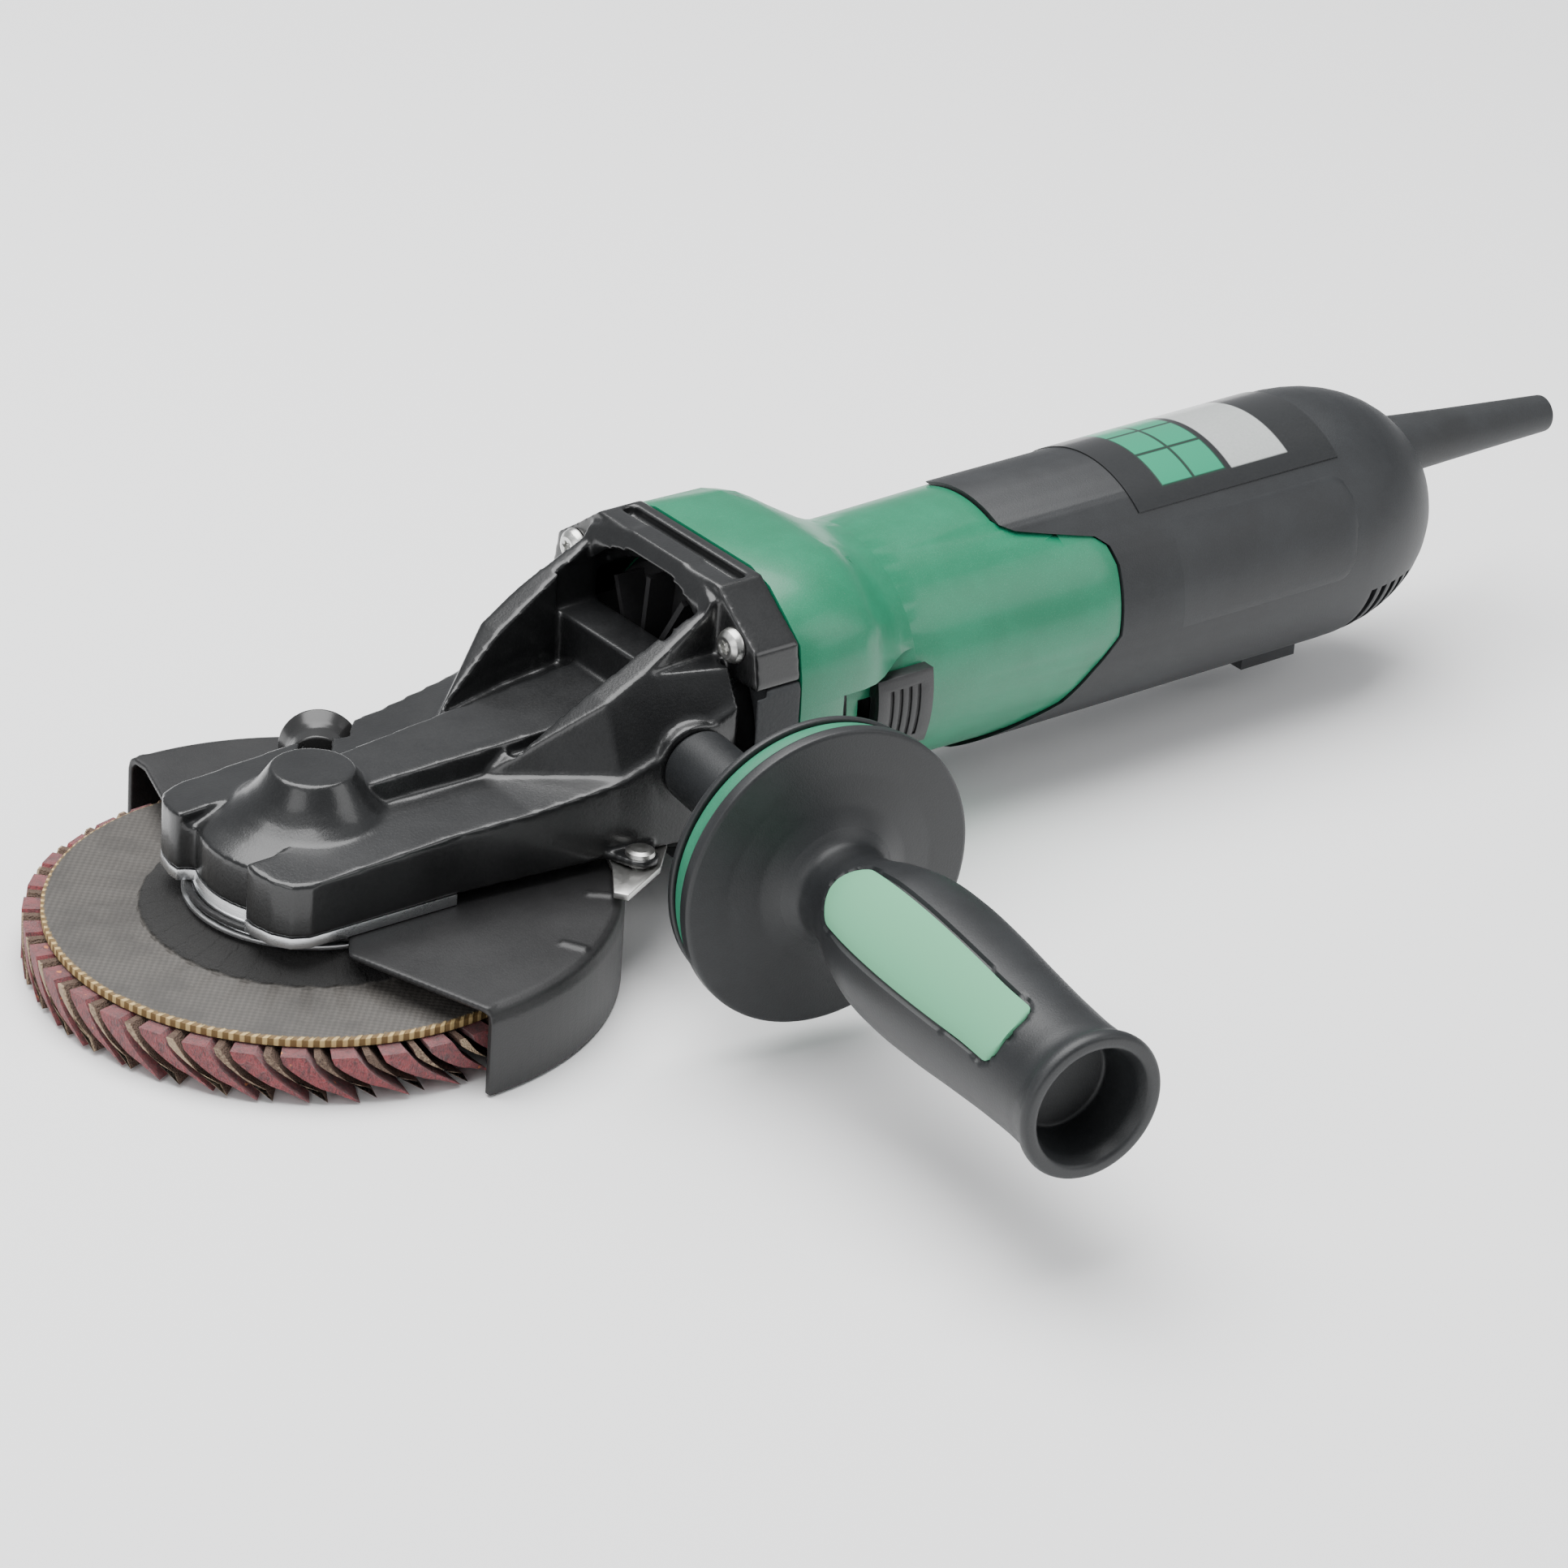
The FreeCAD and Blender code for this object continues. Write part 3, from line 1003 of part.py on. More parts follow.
def grip_solid(extra):
    """Grip from the hand disc's hub to the end collar."""
    disc = [(52.3, HAND_DISC - 0.9), (53.2, HAND_DISC), (55.4, HAND_DISC), (DISC_FRONT, HAND_DISC - 0.7),
            (DISC_FRONT + 0.4, 24.0), (57.6, 18.0), (59.4, 13.6)]
    end = [(156.5, 16.6), (158.5, 16.8), (HANDLE_END, 16.2)]
    if extra != 0.0:
        return on_handle([(along, radius + extra) for along, radius in GRIP_PROFILE])
    return on_handle(disc + GRIP_PROFILE + end, 0.0)


def inlay_mask(extra):
    """Long rounded outline of the soft inlay, seen along its own facing direction."""
    axis = handle_direction(-1)
    facing = V(-0.71, 0.071, 0.70)
    facing = (facing - axis * facing.dot(axis)).normalize()
    across = axis.cross(facing)
    outline = [(71.5, -4.5), (71.5, 4.5), (75.5, 7.2), (90.0, 8.3), (118.0, 8.9), (135.0, 8.6), (141.0, 8.2),
               (142.5, 6.8), (142.5, -6.8), (141.0, -8.2), (135.0, -8.6), (118.0, -8.9), (90.0, -8.3),
               (75.5, -7.2)]
    middle = 107.0
    corners = []
    for along, side in outline:
        grown = along + extra * (1 if along > middle else -1)
        wide = side + extra * (1 if side > 0 else -1)
        corners.append(handle_seat(-1) + axis * grown + across * wide)
    return Part.Face(Part.makePolygon(corners + corners[:1])).extrude(facing * 40.0)


def make_handle_grip():
    grip = grip_solid(0.0)
    grip = grip.cut(on_handle([(50.0, 14.0), (52.3 + PRESS, 14.0)]))
    grip = grip.cut(on_handle([(HANDLE_END - 13.0, 11.0), (HANDLE_END - 3.0, 12.2), (HANDLE_END + 1, 13.4)]))
    recess = inlay_mask(0.0).cut(grip_solid(-1.2))
    return grip.cut(recess)


def make_grip_inlay():
    return inlay_mask(-PRESS).common(grip_solid(0.25)).cut(grip_solid(-1.2 + PRESS))


# ---- parts list ----------------------------------------------------------------------------
PARTS = {
    "gear_housing": make_gear_housing,
    "bearing_cover": make_bearing_cover,
    "cover_screws": make_cover_screws,
    "case_screws": make_case_screws,
    "air_guide": make_air_guide,
    "spindle": make_spindle,
    "crown_gear": make_crown_gear,
    "spindle_lower_bearing": lambda: make_bearing(LOWER_BEARING, V(0, 0, LOWER_BEARING_Z), OUT_Z),
    "spindle_upper_bearing": lambda: make_bearing(UPPER_BEARING, V(0, 0, UPPER_BEARING_Z), OUT_Z),
    "inner_flange": make_inner_flange,
    "backing_plate": make_backing_plate,
    "flap_pack": make_flap_pack,
    "clamping_nut": make_clamping_nut,
    "lock_pin": make_lock_pin,
    "lock_button": make_lock_button,
    "lock_spring": make_lock_spring,
    "guard": make_guard,
    "guard_lever": make_guard_lever,
    "lever_rivet": make_lever_rivet,
    "layshaft": make_layshaft,
    "bevel_pinion": make_bevel_pinion,
    "layshaft_gear": make_layshaft_gear,
    "layshaft_front_bearing": lambda: make_bearing(LAY_BEARING, V(LAY_FRONT_BEARING_X, 0, LAY_Z), OUT_X),
    "layshaft_rear_bearing": lambda: make_bearing(LAY_BEARING, V(LAY_REAR_BEARING_X, 0, LAY_Z), OUT_X),
    "armature_shaft": make_armature_shaft,
    "armature_core": make_armature_core,
    "armature_coils": make_armature_coils,
    "commutator": make_commutator,
    "cooling_fan": make_fan,
    "motor_front_bearing": lambda: make_bearing(FRONT_BEARING, V(FRONT_BEARING_X, 0, MOTOR_Z), OUT_X),
    "motor_rear_bearing": lambda: make_bearing(REAR_BEARING, V(REAR_BEARING_X, 0, MOTOR_Z), OUT_X),
    "bearing_sleeve": make_bearing_sleeve,
    "stator": make_stator,
    "field_coils": make_field_coils,
    "air_baffle": make_air_baffle,
    "carbon_brushes": make_brushes,
    "brush_holders": make_brush_holders,
    "motor_housing": make_motor_housing,
    "rear_housing": make_rear_housing,
    "rear_screws": make_rear_screws,
    "label_plate": make_label_plate,
    "slide_switch": make_slide_switch,
    "switch_rod": make_switch_rod,
    "switch_block": make_switch_block,
    "control_tray": make_control_board,
    "control_potting": make_board_potting,
    "cord_clamp": make_cord_clamp,
    "cord_sleeve": lambda: sleeve_body(0.0, True),
    "handle_stud": make_handle_stud,
    "handle_neck": make_handle_neck,
    "damping_ring": make_damping_ring,
    "handle_grip": make_handle_grip,
    "grip_inlay": make_grip_inlay,
}

os.makedirs("parts", exist_ok=True)
for part_name, maker in PARTS.items():
    part_shape = maker()
    part_shape.exportStep(os.path.join("parts", part_name + ".step"))
    print("%-24s %3d solids %9.0f mm3 valid %s" % (part_name, len(part_shape.Solids), part_shape.Volume,
                                                   part_shape.isValid()))
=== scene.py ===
"""Looks of a flat-head angle grinder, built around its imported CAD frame."""

import json
import logging
import math
from dataclasses import dataclass
from enum import Enum
from typing import Callable, Optional, Sequence, Union

import bmesh
import bpy
import numpy as np
from mathutils import Matrix, Vector

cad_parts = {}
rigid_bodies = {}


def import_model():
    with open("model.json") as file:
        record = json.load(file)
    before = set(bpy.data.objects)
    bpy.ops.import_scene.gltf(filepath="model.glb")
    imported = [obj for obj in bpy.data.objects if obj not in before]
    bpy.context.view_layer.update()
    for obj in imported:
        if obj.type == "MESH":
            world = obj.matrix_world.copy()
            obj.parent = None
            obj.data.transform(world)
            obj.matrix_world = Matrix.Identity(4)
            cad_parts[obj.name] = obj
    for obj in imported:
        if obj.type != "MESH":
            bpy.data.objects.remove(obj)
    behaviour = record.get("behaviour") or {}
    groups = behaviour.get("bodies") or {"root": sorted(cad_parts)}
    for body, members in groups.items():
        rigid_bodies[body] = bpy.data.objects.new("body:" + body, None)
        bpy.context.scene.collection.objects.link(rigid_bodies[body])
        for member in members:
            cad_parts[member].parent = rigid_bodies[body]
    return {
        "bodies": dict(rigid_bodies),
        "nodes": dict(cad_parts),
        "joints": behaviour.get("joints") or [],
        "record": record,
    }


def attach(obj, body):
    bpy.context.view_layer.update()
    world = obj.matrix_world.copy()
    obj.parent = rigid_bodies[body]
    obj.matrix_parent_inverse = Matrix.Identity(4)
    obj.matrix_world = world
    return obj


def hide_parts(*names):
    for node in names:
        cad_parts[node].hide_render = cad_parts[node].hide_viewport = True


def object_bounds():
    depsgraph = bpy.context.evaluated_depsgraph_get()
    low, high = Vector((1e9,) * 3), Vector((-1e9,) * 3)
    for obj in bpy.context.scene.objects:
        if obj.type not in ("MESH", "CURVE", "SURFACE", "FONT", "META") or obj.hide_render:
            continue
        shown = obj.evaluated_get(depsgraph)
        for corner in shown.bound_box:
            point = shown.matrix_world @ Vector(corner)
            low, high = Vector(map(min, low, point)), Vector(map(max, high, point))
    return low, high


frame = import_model()
BOX_AT_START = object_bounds()

LOG = logging.getLogger("grinder")
MM = 0.001
WELD = 2e-6             # points closer than this are one point, in metres
FLOOR_GAP = 0.0002      # how far the floor lies below the lowest point, in metres

Profile = Sequence[tuple[float, float]]
Reshape = Callable[[np.ndarray, np.ndarray, np.ndarray], np.ndarray]
Colour = tuple[float, float, float]


# ---------------------------------------------------------------------------------------
# Shader graphs
# ---------------------------------------------------------------------------------------
class Value:
    """A number socket that takes part in ordinary arithmetic."""

    def __init__(self, graph: "Graph", socket: bpy.types.NodeSocket) -> None:
        """Keep the socket and the graph that it belongs to."""
        self.graph = graph
        self.socket = socket

    def __add__(self, other: "Number") -> "Value":
        """Sum with another number."""
        return self.graph.math("ADD", self, other)

    def __sub__(self, other: "Number") -> "Value":
        """Difference from another number."""
        return self.graph.math("SUBTRACT", self, other)

    def __rsub__(self, other: "Number") -> "Value":
        """Another number less this one."""
        return self.graph.math("SUBTRACT", other, self)

    def __mul__(self, other: "Number") -> "Value":
        """Product with another number."""
        return self.graph.math("MULTIPLY", self, other)

    def sine(self) -> "Value":
        """Sine of the value, in radians."""
        return self.graph.math("SINE", self)

    def absolute(self) -> "Value":
        """Distance of the value from zero."""
        return self.graph.math("ABSOLUTE", self)

    def step(self, start: float, end: float) -> "Value":
        """Smooth 0 to 1 as the value goes from start to end.

        Args:
            start: Value at which the result leaves 0.
            end: Value at which the result reaches 1; it may be below start.

        Returns:
            The smoothed share.
        """
        reverse = end < start
        low, high = (end, start) if reverse else (start, end)
        rise = self.graph.node(
            "ShaderNodeMapRange",
            {"Value": self, "From Min": low, "From Max": high},
            interpolation_type="SMOOTHSTEP",
        )
        share = Value(self.graph, rise)
        return 1.0 - share if reverse else share


Number = Union[Value, float, int]


class Graph:
    """Builds one material's node tree."""

    def __init__(self, name: str) -> None:
        """Start a material with one Principled shader.

        Args:
            name: Name of the material.
        """
        self.material = bpy.data.materials.new(name)
        self.material.use_nodes = True
        self.tree = self.material.node_tree
        self.tree.nodes.clear()
        output = self.tree.nodes.new("ShaderNodeOutputMaterial")
        self.shader = self.tree.nodes.new("ShaderNodeBsdfPrincipled")
        self.tree.links.new(self.shader.outputs[0], output.inputs[0])

    def feed(self, target: bpy.types.NodeSocket, source: object) -> None:
        """Set or link one input socket.

        Args:
            target: The input socket.
            source: A Value, a socket, or a constant.
        """
        if isinstance(source, Value):
            source = source.socket
        if isinstance(source, bpy.types.NodeSocket):
            self.tree.links.new(source, target)
        elif source is not None:
            target.default_value = source

    def node(
        self, kind: str, inputs: dict, output: Union[int, str] = 0, **settings: object
    ) -> bpy.types.NodeSocket:
        """Add a node.

        Args:
            kind: Blender's node type.
            inputs: Input names or indices with their sources.
            output: The output to hand back.
            **settings: Properties set on the node.

        Returns:
            The chosen output socket.
        """
        made = self.tree.nodes.new(kind)
        for key, setting in settings.items():
            setattr(made, key, setting)
        for key, source in inputs.items():
            self.feed(made.inputs[key], source)
        return made.outputs[output]

    def math(self, operation: str, *terms: Number) -> Value:
        """Join numbers with one Math node."""
        return Value(self, self.node("ShaderNodeMath", dict(enumerate(terms)), operation=operation))

    def place(self) -> bpy.types.NodeSocket:
        """Object coordinates in millimetres."""
        metres = self.node("ShaderNodeTexCoord", {}, "Object")
        return self.node("ShaderNodeVectorMath", {0: metres, "Scale": 1.0 / MM}, operation="SCALE")

    def stretched(self, vector: bpy.types.NodeSocket, scale: Sequence[float]) -> bpy.types.NodeSocket:
        """Coordinates multiplied axis by axis."""
        return self.node("ShaderNodeVectorMath", {0: vector, 1: tuple(scale)}, operation="MULTIPLY")

    def parts(self, vector: bpy.types.NodeSocket) -> tuple[Value, Value, Value]:
        """The three numbers of a vector.

        Args:
            vector: The vector to take apart.

        Returns:
            Its X, Y and Z.
        """
        split = self.tree.nodes.new("ShaderNodeSeparateXYZ")
        self.tree.links.new(vector, split.inputs[0])
        return tuple(Value(self, socket) for socket in split.outputs)

    def noise(
        self, vector: bpy.types.NodeSocket, scale: float, detail: float = 2.0, rough: float = 0.5
    ) -> Value:
        """Cloudy noise between about 0 and 1."""
        inputs = {"Vector": vector, "Scale": scale, "Detail": detail, "Roughness": rough}
        return Value(self, self.node("ShaderNodeTexNoise", inputs, "Fac"))

    def cells(self, vector: bpy.types.NodeSocket, scale: float) -> Value:
        """Distance to the nearest point of a random scatter."""
        return Value(self, self.node("ShaderNodeTexVoronoi", {"Vector": vector, "Scale": scale}, "Distance"))

    def blend(self, share: Number, first: object, second: object) -> bpy.types.NodeSocket:
        """Mix two colours.

        Args:
            share: 0 gives the first colour and 1 the second.
            first: Colour or socket.
            second: Colour or socket.

        Returns:
            The mixed colour socket.
        """
        mixed = self.tree.nodes.new("ShaderNodeMix")
        mixed.data_type = "RGBA"
        self.feed(mixed.inputs[0], share)
        self.feed(mixed.inputs[6], opaque(first))
        self.feed(mixed.inputs[7], opaque(second))
        return mixed.outputs[2]

    def relief(self, height: Value, depth_mm: float) -> None:
        """Bump the surface.

        Args:
            height: Height, where 1 stands for the depth.
            depth_mm: The depth in millimetres.
        """
        bump = {"Height": height, "Distance": depth_mm * MM, "Strength": 1.0}
        normal = self.node("ShaderNodeBump", bump, "Normal")
        self.feed(self.shader.inputs["Normal"], normal)

    def surface(self, colour: object, rough: object, metallic: object = 0.0) -> None:
        """Feed the main inputs of the shader.

        Args:
            colour: Base colour, plain or a socket.
            rough: Roughness.
            metallic: Share of metal.
        """
        self.feed(self.shader.inputs["Base Color"], opaque(colour))
        self.feed(self.shader.inputs["Roughness"], rough)
        self.feed(self.shader.inputs["Metallic"], metallic)


def opaque(colour: object) -> object:
    """Give a plain colour its alpha and pass sockets through."""
    return (*colour, 1.0) if isinstance(colour, tuple) and len(colour) == 3 else colour


# ---------------------------------------------------------------------------------------
# Finishes
# ---------------------------------------------------------------------------------------
@dataclass(frozen=True)
class Finish:
    """A moulded, cast or painted surface with mottling and a fine grain.

    Attributes:
        colour: Main colour.
        shade: Second colour of the mottling.
        rough: Mean roughness.
        grain: Grains per millimetre.
        depth: Depth of the grain in millimetres.
        coat: Weight of a clear coat.
        fleck: Share of bright metallic flecks.
        fleck_colour: Colour of the flecks.
        spread: How far the roughness varies.
    """

    colour: Colour
    shade: Colour
    rough: float
    grain: float = 2.0
    depth: float = 0.02
    coat: float = 0.0
    fleck: float = 0.0
    fleck_colour: Colour = (0.6, 0.7, 0.62)
    spread: float = 0.10

    def build(self, name: str) -> bpy.types.Material:
        """Make the material.

        Args:
            name: Name of the material.

        Returns:
            The new material.
        """
        graph = Graph(name)
        place = graph.place()
        cloud = graph.noise(place, 0.06, 4.0, 0.6)
        grain = graph.noise(place, self.grain, 2.0, 0.5)
        colour = graph.blend((cloud * 0.7 + grain * 0.3).step(0.35, 0.7), self.colour, self.shade)
        if self.fleck > 0:
            spots = graph.cells(place, self.grain * 1.6).step(0.16, 0.06) * self.fleck
            colour = graph.blend(spots, colour, self.fleck_colour)
        rough = (cloud - 0.5) * self.spread + (grain - 0.5) * (self.spread * 0.6) + self.rough
        graph.surface(colour, rough)
        graph.feed(graph.shader.inputs["Coat Weight"], self.coat)
        graph.feed(graph.shader.inputs["Coat Roughness"], 0.12)
        graph.relief(grain, self.depth)
        return graph.material


@dataclass(frozen=True)
class Steel:
    """Metal with tool marks that run round the spindle or along the tool.

    Attributes:
        colour: Main colour.
        stain: Colour of handling marks.
        rough: Mean roughness.
        marks: Stretch of the tool marks along X, Y and Z.
        depth: Depth of the marks in millimetres.
        turned: Whether the marks run in circles about the spindle axis.
    """

    colour: Colour
    stain: Colour
    rough: float
    marks: tuple[float, float, float] = (0.2, 3.0, 3.0)
    depth: float = 0.01
    turned: bool = False

    def build(self, name: str) -> bpy.types.Material:
        """Make the material.

        Args:
            name: Name of the material.

        Returns:
            The new material.
        """
        graph = Graph(name)
        place = graph.place()
        if self.turned:
            across, along, up = graph.parts(place)
            radius = graph.math("SQRT", across * across + along * along)
            lines = graph.node("ShaderNodeCombineXYZ", {0: radius * 2.4, 1: up * 2.4, 2: 0.0})
        else:
            lines = graph.stretched(place, self.marks)
        scratch = graph.noise(lines, 1.6, 3.0, 0.6)
        cloud = graph.noise(place, 0.12, 4.0, 0.6)
        graph.surface(
            graph.blend(cloud.step(0.45, 0.75) * 0.6, self.colour, self.stain),
            (scratch - 0.5) * 0.22 + (cloud - 0.5) * 0.12 + self.rough,
            1.0,
        )
        graph.relief(scratch, self.depth)
        return graph.material


@dataclass(frozen=True)
class WovenPlate:
    """Glass-fibre backing plate with a dark rough hub and a pale woven edge.

    Attributes:
        hub_radius: Radius of the dark hub in millimetres.
        edge_radius: Radius where the woven edge starts.
        pitch: Distance between two threads.
    """

    hub_radius: float = 36.7
    edge_radius: float = 57.0
    pitch: float = 1.9

    def build(self, name: str) -> bpy.types.Material:
        """Make the material.

        Args:
            name: Name of the material.

        Returns:
            The new material.
        """
        graph = Graph(name)
        place = graph.place()
        across, along, _ = graph.parts(place)
        radius = graph.math("SQRT", across * across + along * along)
        turn = graph.math("ARCTAN2", along, across)
        wave = math.tau / self.pitch
        wander = graph.noise(place, 0.25, 2.0) * 2.2
        weft = (across * wave + wander).sine()
        warp = (along * wave + wander).sine()
        weave = (weft * warp).step(-0.9, 0.9)
        speck = graph.noise(place, 1.3, 4.0, 0.7)
        cloud = graph.noise(place, 0.09, 4.0, 0.6)
        plate = graph.blend(weave * 0.5 + 0.25, (0.046, 0.042, 0.038), (0.098, 0.090, 0.081))
        plate = graph.blend(cloud.step(0.42, 0.66) * 0.55, plate, (0.040, 0.037, 0.034))
        plate = graph.blend(speck.step(0.60, 0.72) * 0.35, plate, (0.19, 0.175, 0.155))
        hub = graph.blend(speck, (0.006, 0.006, 0.006), (0.024, 0.023, 0.022))
        thread = (turn * 150.0 + radius * 3.0).sine().step(-0.3, 0.5)
        edge = graph.blend(thread, (0.16, 0.095, 0.03), (0.50, 0.36, 0.16))
        in_hub = radius.step(self.hub_radius + 0.4, self.hub_radius - 0.3)
        in_edge = (radius + (speck - 0.5) * 1.6).step(self.edge_radius, self.edge_radius + 0.5)
        colour = graph.blend(in_edge, graph.blend(in_hub, plate, hub), edge)
        graph.surface(colour, (speck - 0.5) * 0.25 + 0.68 + in_hub * 0.06)
        ribs = (turn * 34.0 + graph.noise(place, 0.4, 2.0) * 3.0).sine().step(-0.4, 0.6)
        height = weave * (1.0 - in_hub) * 0.18 + (ribs * 0.8 + speck * 1.6) * in_hub + thread * in_edge * 0.6
        graph.relief(height + speck * 0.3, 0.35)
        return graph.material


@dataclass(frozen=True)
class FleeceFlap:
    """Non-woven abrasive: matted fibres with a few stray spots.

    Attributes:
        colour: Main colour.
        dark: Colour between the fibres.
        spot: Colour of stray spots.
    """

    colour: Colour = (0.34, 0.040, 0.048)
    dark: Colour = (0.065, 0.008, 0.011)
    spot: Colour = (0.75, 0.20, 0.03)

    def build(self, name: str) -> bpy.types.Material:
        """Make the material.

        Args:
            name: Name of the material.

        Returns:
            The new material.
        """
        graph = Graph(name)
        place = graph.place()
        warped = graph.node("ShaderNodeVectorMath", {
            0: place,
            1: graph.node("ShaderNodeTexNoise", {"Vector": place, "Scale": 0.5}, "Color"),
        }, operation="ADD")
        fibres = graph.noise(graph.stretched(warped, (2.6, 2.6, 0.9)), 1.1, 5.0, 0.75)
        clumps = graph.noise(place, 0.5, 3.0, 0.6)
        colour = graph.blend((fibres * 0.7 + clumps * 0.3).step(0.38, 0.62), self.dark, self.colour)
        spots = graph.noise(place, 0.35, 1.0).step(0.735, 0.76)
        graph.surface(graph.blend(spots, colour, self.spot), 0.9)
        graph.feed(graph.shader.inputs["Sheen Weight"], 0.35)
        graph.relief(fibres + clumps * 0.6, 0.7)
        return graph.material


@dataclass(frozen=True)
class ClothFlap:
    """Abrasive cloth: dark grit with pale frayed edges.

    Attributes:
        grit: Colour of the grit side.
        edge: Colour of the cut cloth.
        inner: Radius in millimetres where the pale edge starts.
    """

    grit: Colour = (0.045, 0.026, 0.020)
    edge: Colour = (0.40, 0.30, 0.20)
    inner: float = 61.6

    def build(self, name: str) -> bpy.types.Material:
        """Make the material.

        Args:
            name: Name of the material.

        Returns:
            The new material.
        """
        graph = Graph(name)
        place = graph.place()
        across, along, _ = graph.parts(place)
        radius = graph.math("SQRT", across * across + along * along)
        grit = graph.cells(place, 2.4)
        fray = graph.noise(place, 1.5, 3.0)
        colour = graph.blend(grit.step(0.1, 0.5), self.grit, (0.11, 0.07, 0.05))
        cut = (radius + fray * 0.8).step(self.inner + 0.3, self.inner + 0.7)
        graph.surface(graph.blend(cut * 0.8, colour, self.edge), 0.85)
        graph.relief(grit + fray * 0.4, 0.3)
        return graph.material


@dataclass(frozen=True)
class LabelFilm:
    """Blank black film label with a block of green tiles and a silver field.

    Attributes:
        tiles: Start and end of the tiled block along X, in millimetres.
        field: Start and end of the silver field along X.
        tile: Length and width of one tile.
        half: Half width of both blocks.
    """

    tiles: tuple[float, float] = (227.0, 247.0)
    field: tuple[float, float] = (248.5, 266.0)
    tile: tuple[float, float] = (10.0, 10.4)
    half: float = 15.6

    def build(self, name: str) -> bpy.types.Material:
        """Make the material.

        Args:
            name: Name of the material.

        Returns:
            The new material.
        """
        graph = Graph(name)
        place = graph.place()
        along, across, _ = graph.parts(place)
        length, width = self.tile
        rows = ((along - self.tiles[0]) * (math.pi / length)).sine().absolute()
        columns = ((across + self.half) * (math.pi / width)).sine().absolute()
        joints = graph.math("MINIMUM", rows, columns)
        fine = graph.noise(place, 1.8, 2.0)
        film = graph.blend(fine, (0.009, 0.010, 0.011), (0.015, 0.016, 0.017))
        silver = graph.blend(fine, (0.36, 0.38, 0.37), (0.48, 0.50, 0.49))
        green = graph.blend(joints.step(0.08, 0.2), (0.010, 0.030, 0.020), (0.010, 0.26, 0.14))

        blur = 0.25
        beside = across.absolute().step(self.half + blur, self.half - blur)
        in_tiles, in_field = (
            along.step(start - blur, start + blur) * along.step(end + blur, end - blur) * beside
            for start, end in (self.tiles, self.field)
        )
        colour = graph.blend(in_field, graph.blend(in_tiles, film, green), silver)
        graph.surface(colour, (fine - 0.5) * 0.1 + 0.34)
        graph.feed(graph.shader.inputs["Coat Weight"], 0.3)
        graph.relief(fine * 0.3 + joints.step(0.0, 0.2) * in_tiles, 0.03)
        return graph.material


class Look(Enum):
    """Every finish the grinder uses."""

    CASTING = Finish((0.0065, 0.0068, 0.0072), (0.012, 0.0125, 0.013), 0.31, 1.6, 0.035, coat=0.25)
    GUARD = Finish((0.0065, 0.0065, 0.007), (0.013, 0.013, 0.0135), 0.48, 2.2, 0.05)
    ROUGH_DARK = Finish((0.020, 0.022, 0.024), (0.035, 0.038, 0.041), 0.68, 1.1, 0.12)
    DARK = Finish((0.010, 0.011, 0.0125), (0.018, 0.020, 0.022), 0.50, 2.6, 0.045)
    GRIP = Finish((0.0075, 0.0085, 0.0095), (0.014, 0.0155, 0.017), 0.46, 2.4, 0.04)
    GREEN = Finish((0.004, 0.155, 0.075), (0.007, 0.195, 0.098), 0.38, 2.4, 0.03, coat=0.15, fleck=0.30)
    SOFT_GREEN = Finish((0.007, 0.165, 0.083), (0.013, 0.205, 0.105), 0.66, 2.0, 0.04)
    GREEN_RING = Finish((0.008, 0.145, 0.075), (0.014, 0.185, 0.098), 0.60, 2.0, 0.04)
    GLOSS_BLACK = Finish(
        (0.008, 0.008, 0.009), (0.014, 0.014, 0.015), 0.14, 1.0, 0.004, coat=0.6, spread=0.04
    )
    SWITCH = Finish((0.012, 0.012, 0.013), (0.022, 0.022, 0.023), 0.42, 2.4, 0.03)
    RUBBER = Finish((0.013, 0.013, 0.014), (0.024, 0.024, 0.025), 0.72, 1.8, 0.05)
    SLEEVE = Finish((0.013, 0.014, 0.015), (0.022, 0.024, 0.026), 0.60, 2.0, 0.05)
    MOULDING = Finish((0.012, 0.012, 0.013), (0.020, 0.020, 0.021), 0.55, 1.6, 0.03)
    CARBON = Finish((0.02, 0.02, 0.02), (0.04, 0.04, 0.04), 0.75, 3.0, 0.05)
    ALUMINIUM = Steel((0.66, 0.67, 0.68), (0.48, 0.49, 0.50), 0.30, (0.25, 2.5, 2.5), 0.012, turned=True)
    ZINC = Steel((0.62, 0.62, 0.60), (0.44, 0.44, 0.42), 0.34, (0.6, 2.0, 2.0), 0.012)
    GROUND = Steel((0.60, 0.60, 0.60), (0.46, 0.46, 0.46), 0.25, (3.0, 0.3, 0.3), 0.008)
    GEAR = Steel((0.36, 0.36, 0.37), (0.20, 0.19, 0.17), 0.32, (1.0, 1.0, 1.0), 0.02)
    BLACKENED = Steel((0.10, 0.10, 0.10), (0.05, 0.05, 0.05), 0.38, (1.0, 1.0, 1.0), 0.02, turned=True)
    LAMINATED = Steel((0.24, 0.24, 0.25), (0.14, 0.14, 0.14), 0.45, (6.0, 0.2, 0.2), 0.06)
    COPPER = Steel((0.72, 0.33, 0.16), (0.42, 0.18, 0.08), 0.35, (0.4, 4.0, 4.0), 0.08)
    BRASS = Steel((0.72, 0.55, 0.24), (0.50, 0.38, 0.16), 0.32, (0.5, 2.0, 2.0), 0.01)
    PLATE = WovenPlate()
    FLEECE = FleeceFlap()
    CLOTH = ClothFlap()
    LABEL = LabelFilm()

    def material(self) -> bpy.types.Material:
        """The finish's material, made on first use."""
        name = self.name.lower()
        return bpy.data.materials.get(name) or self.value.build(name)


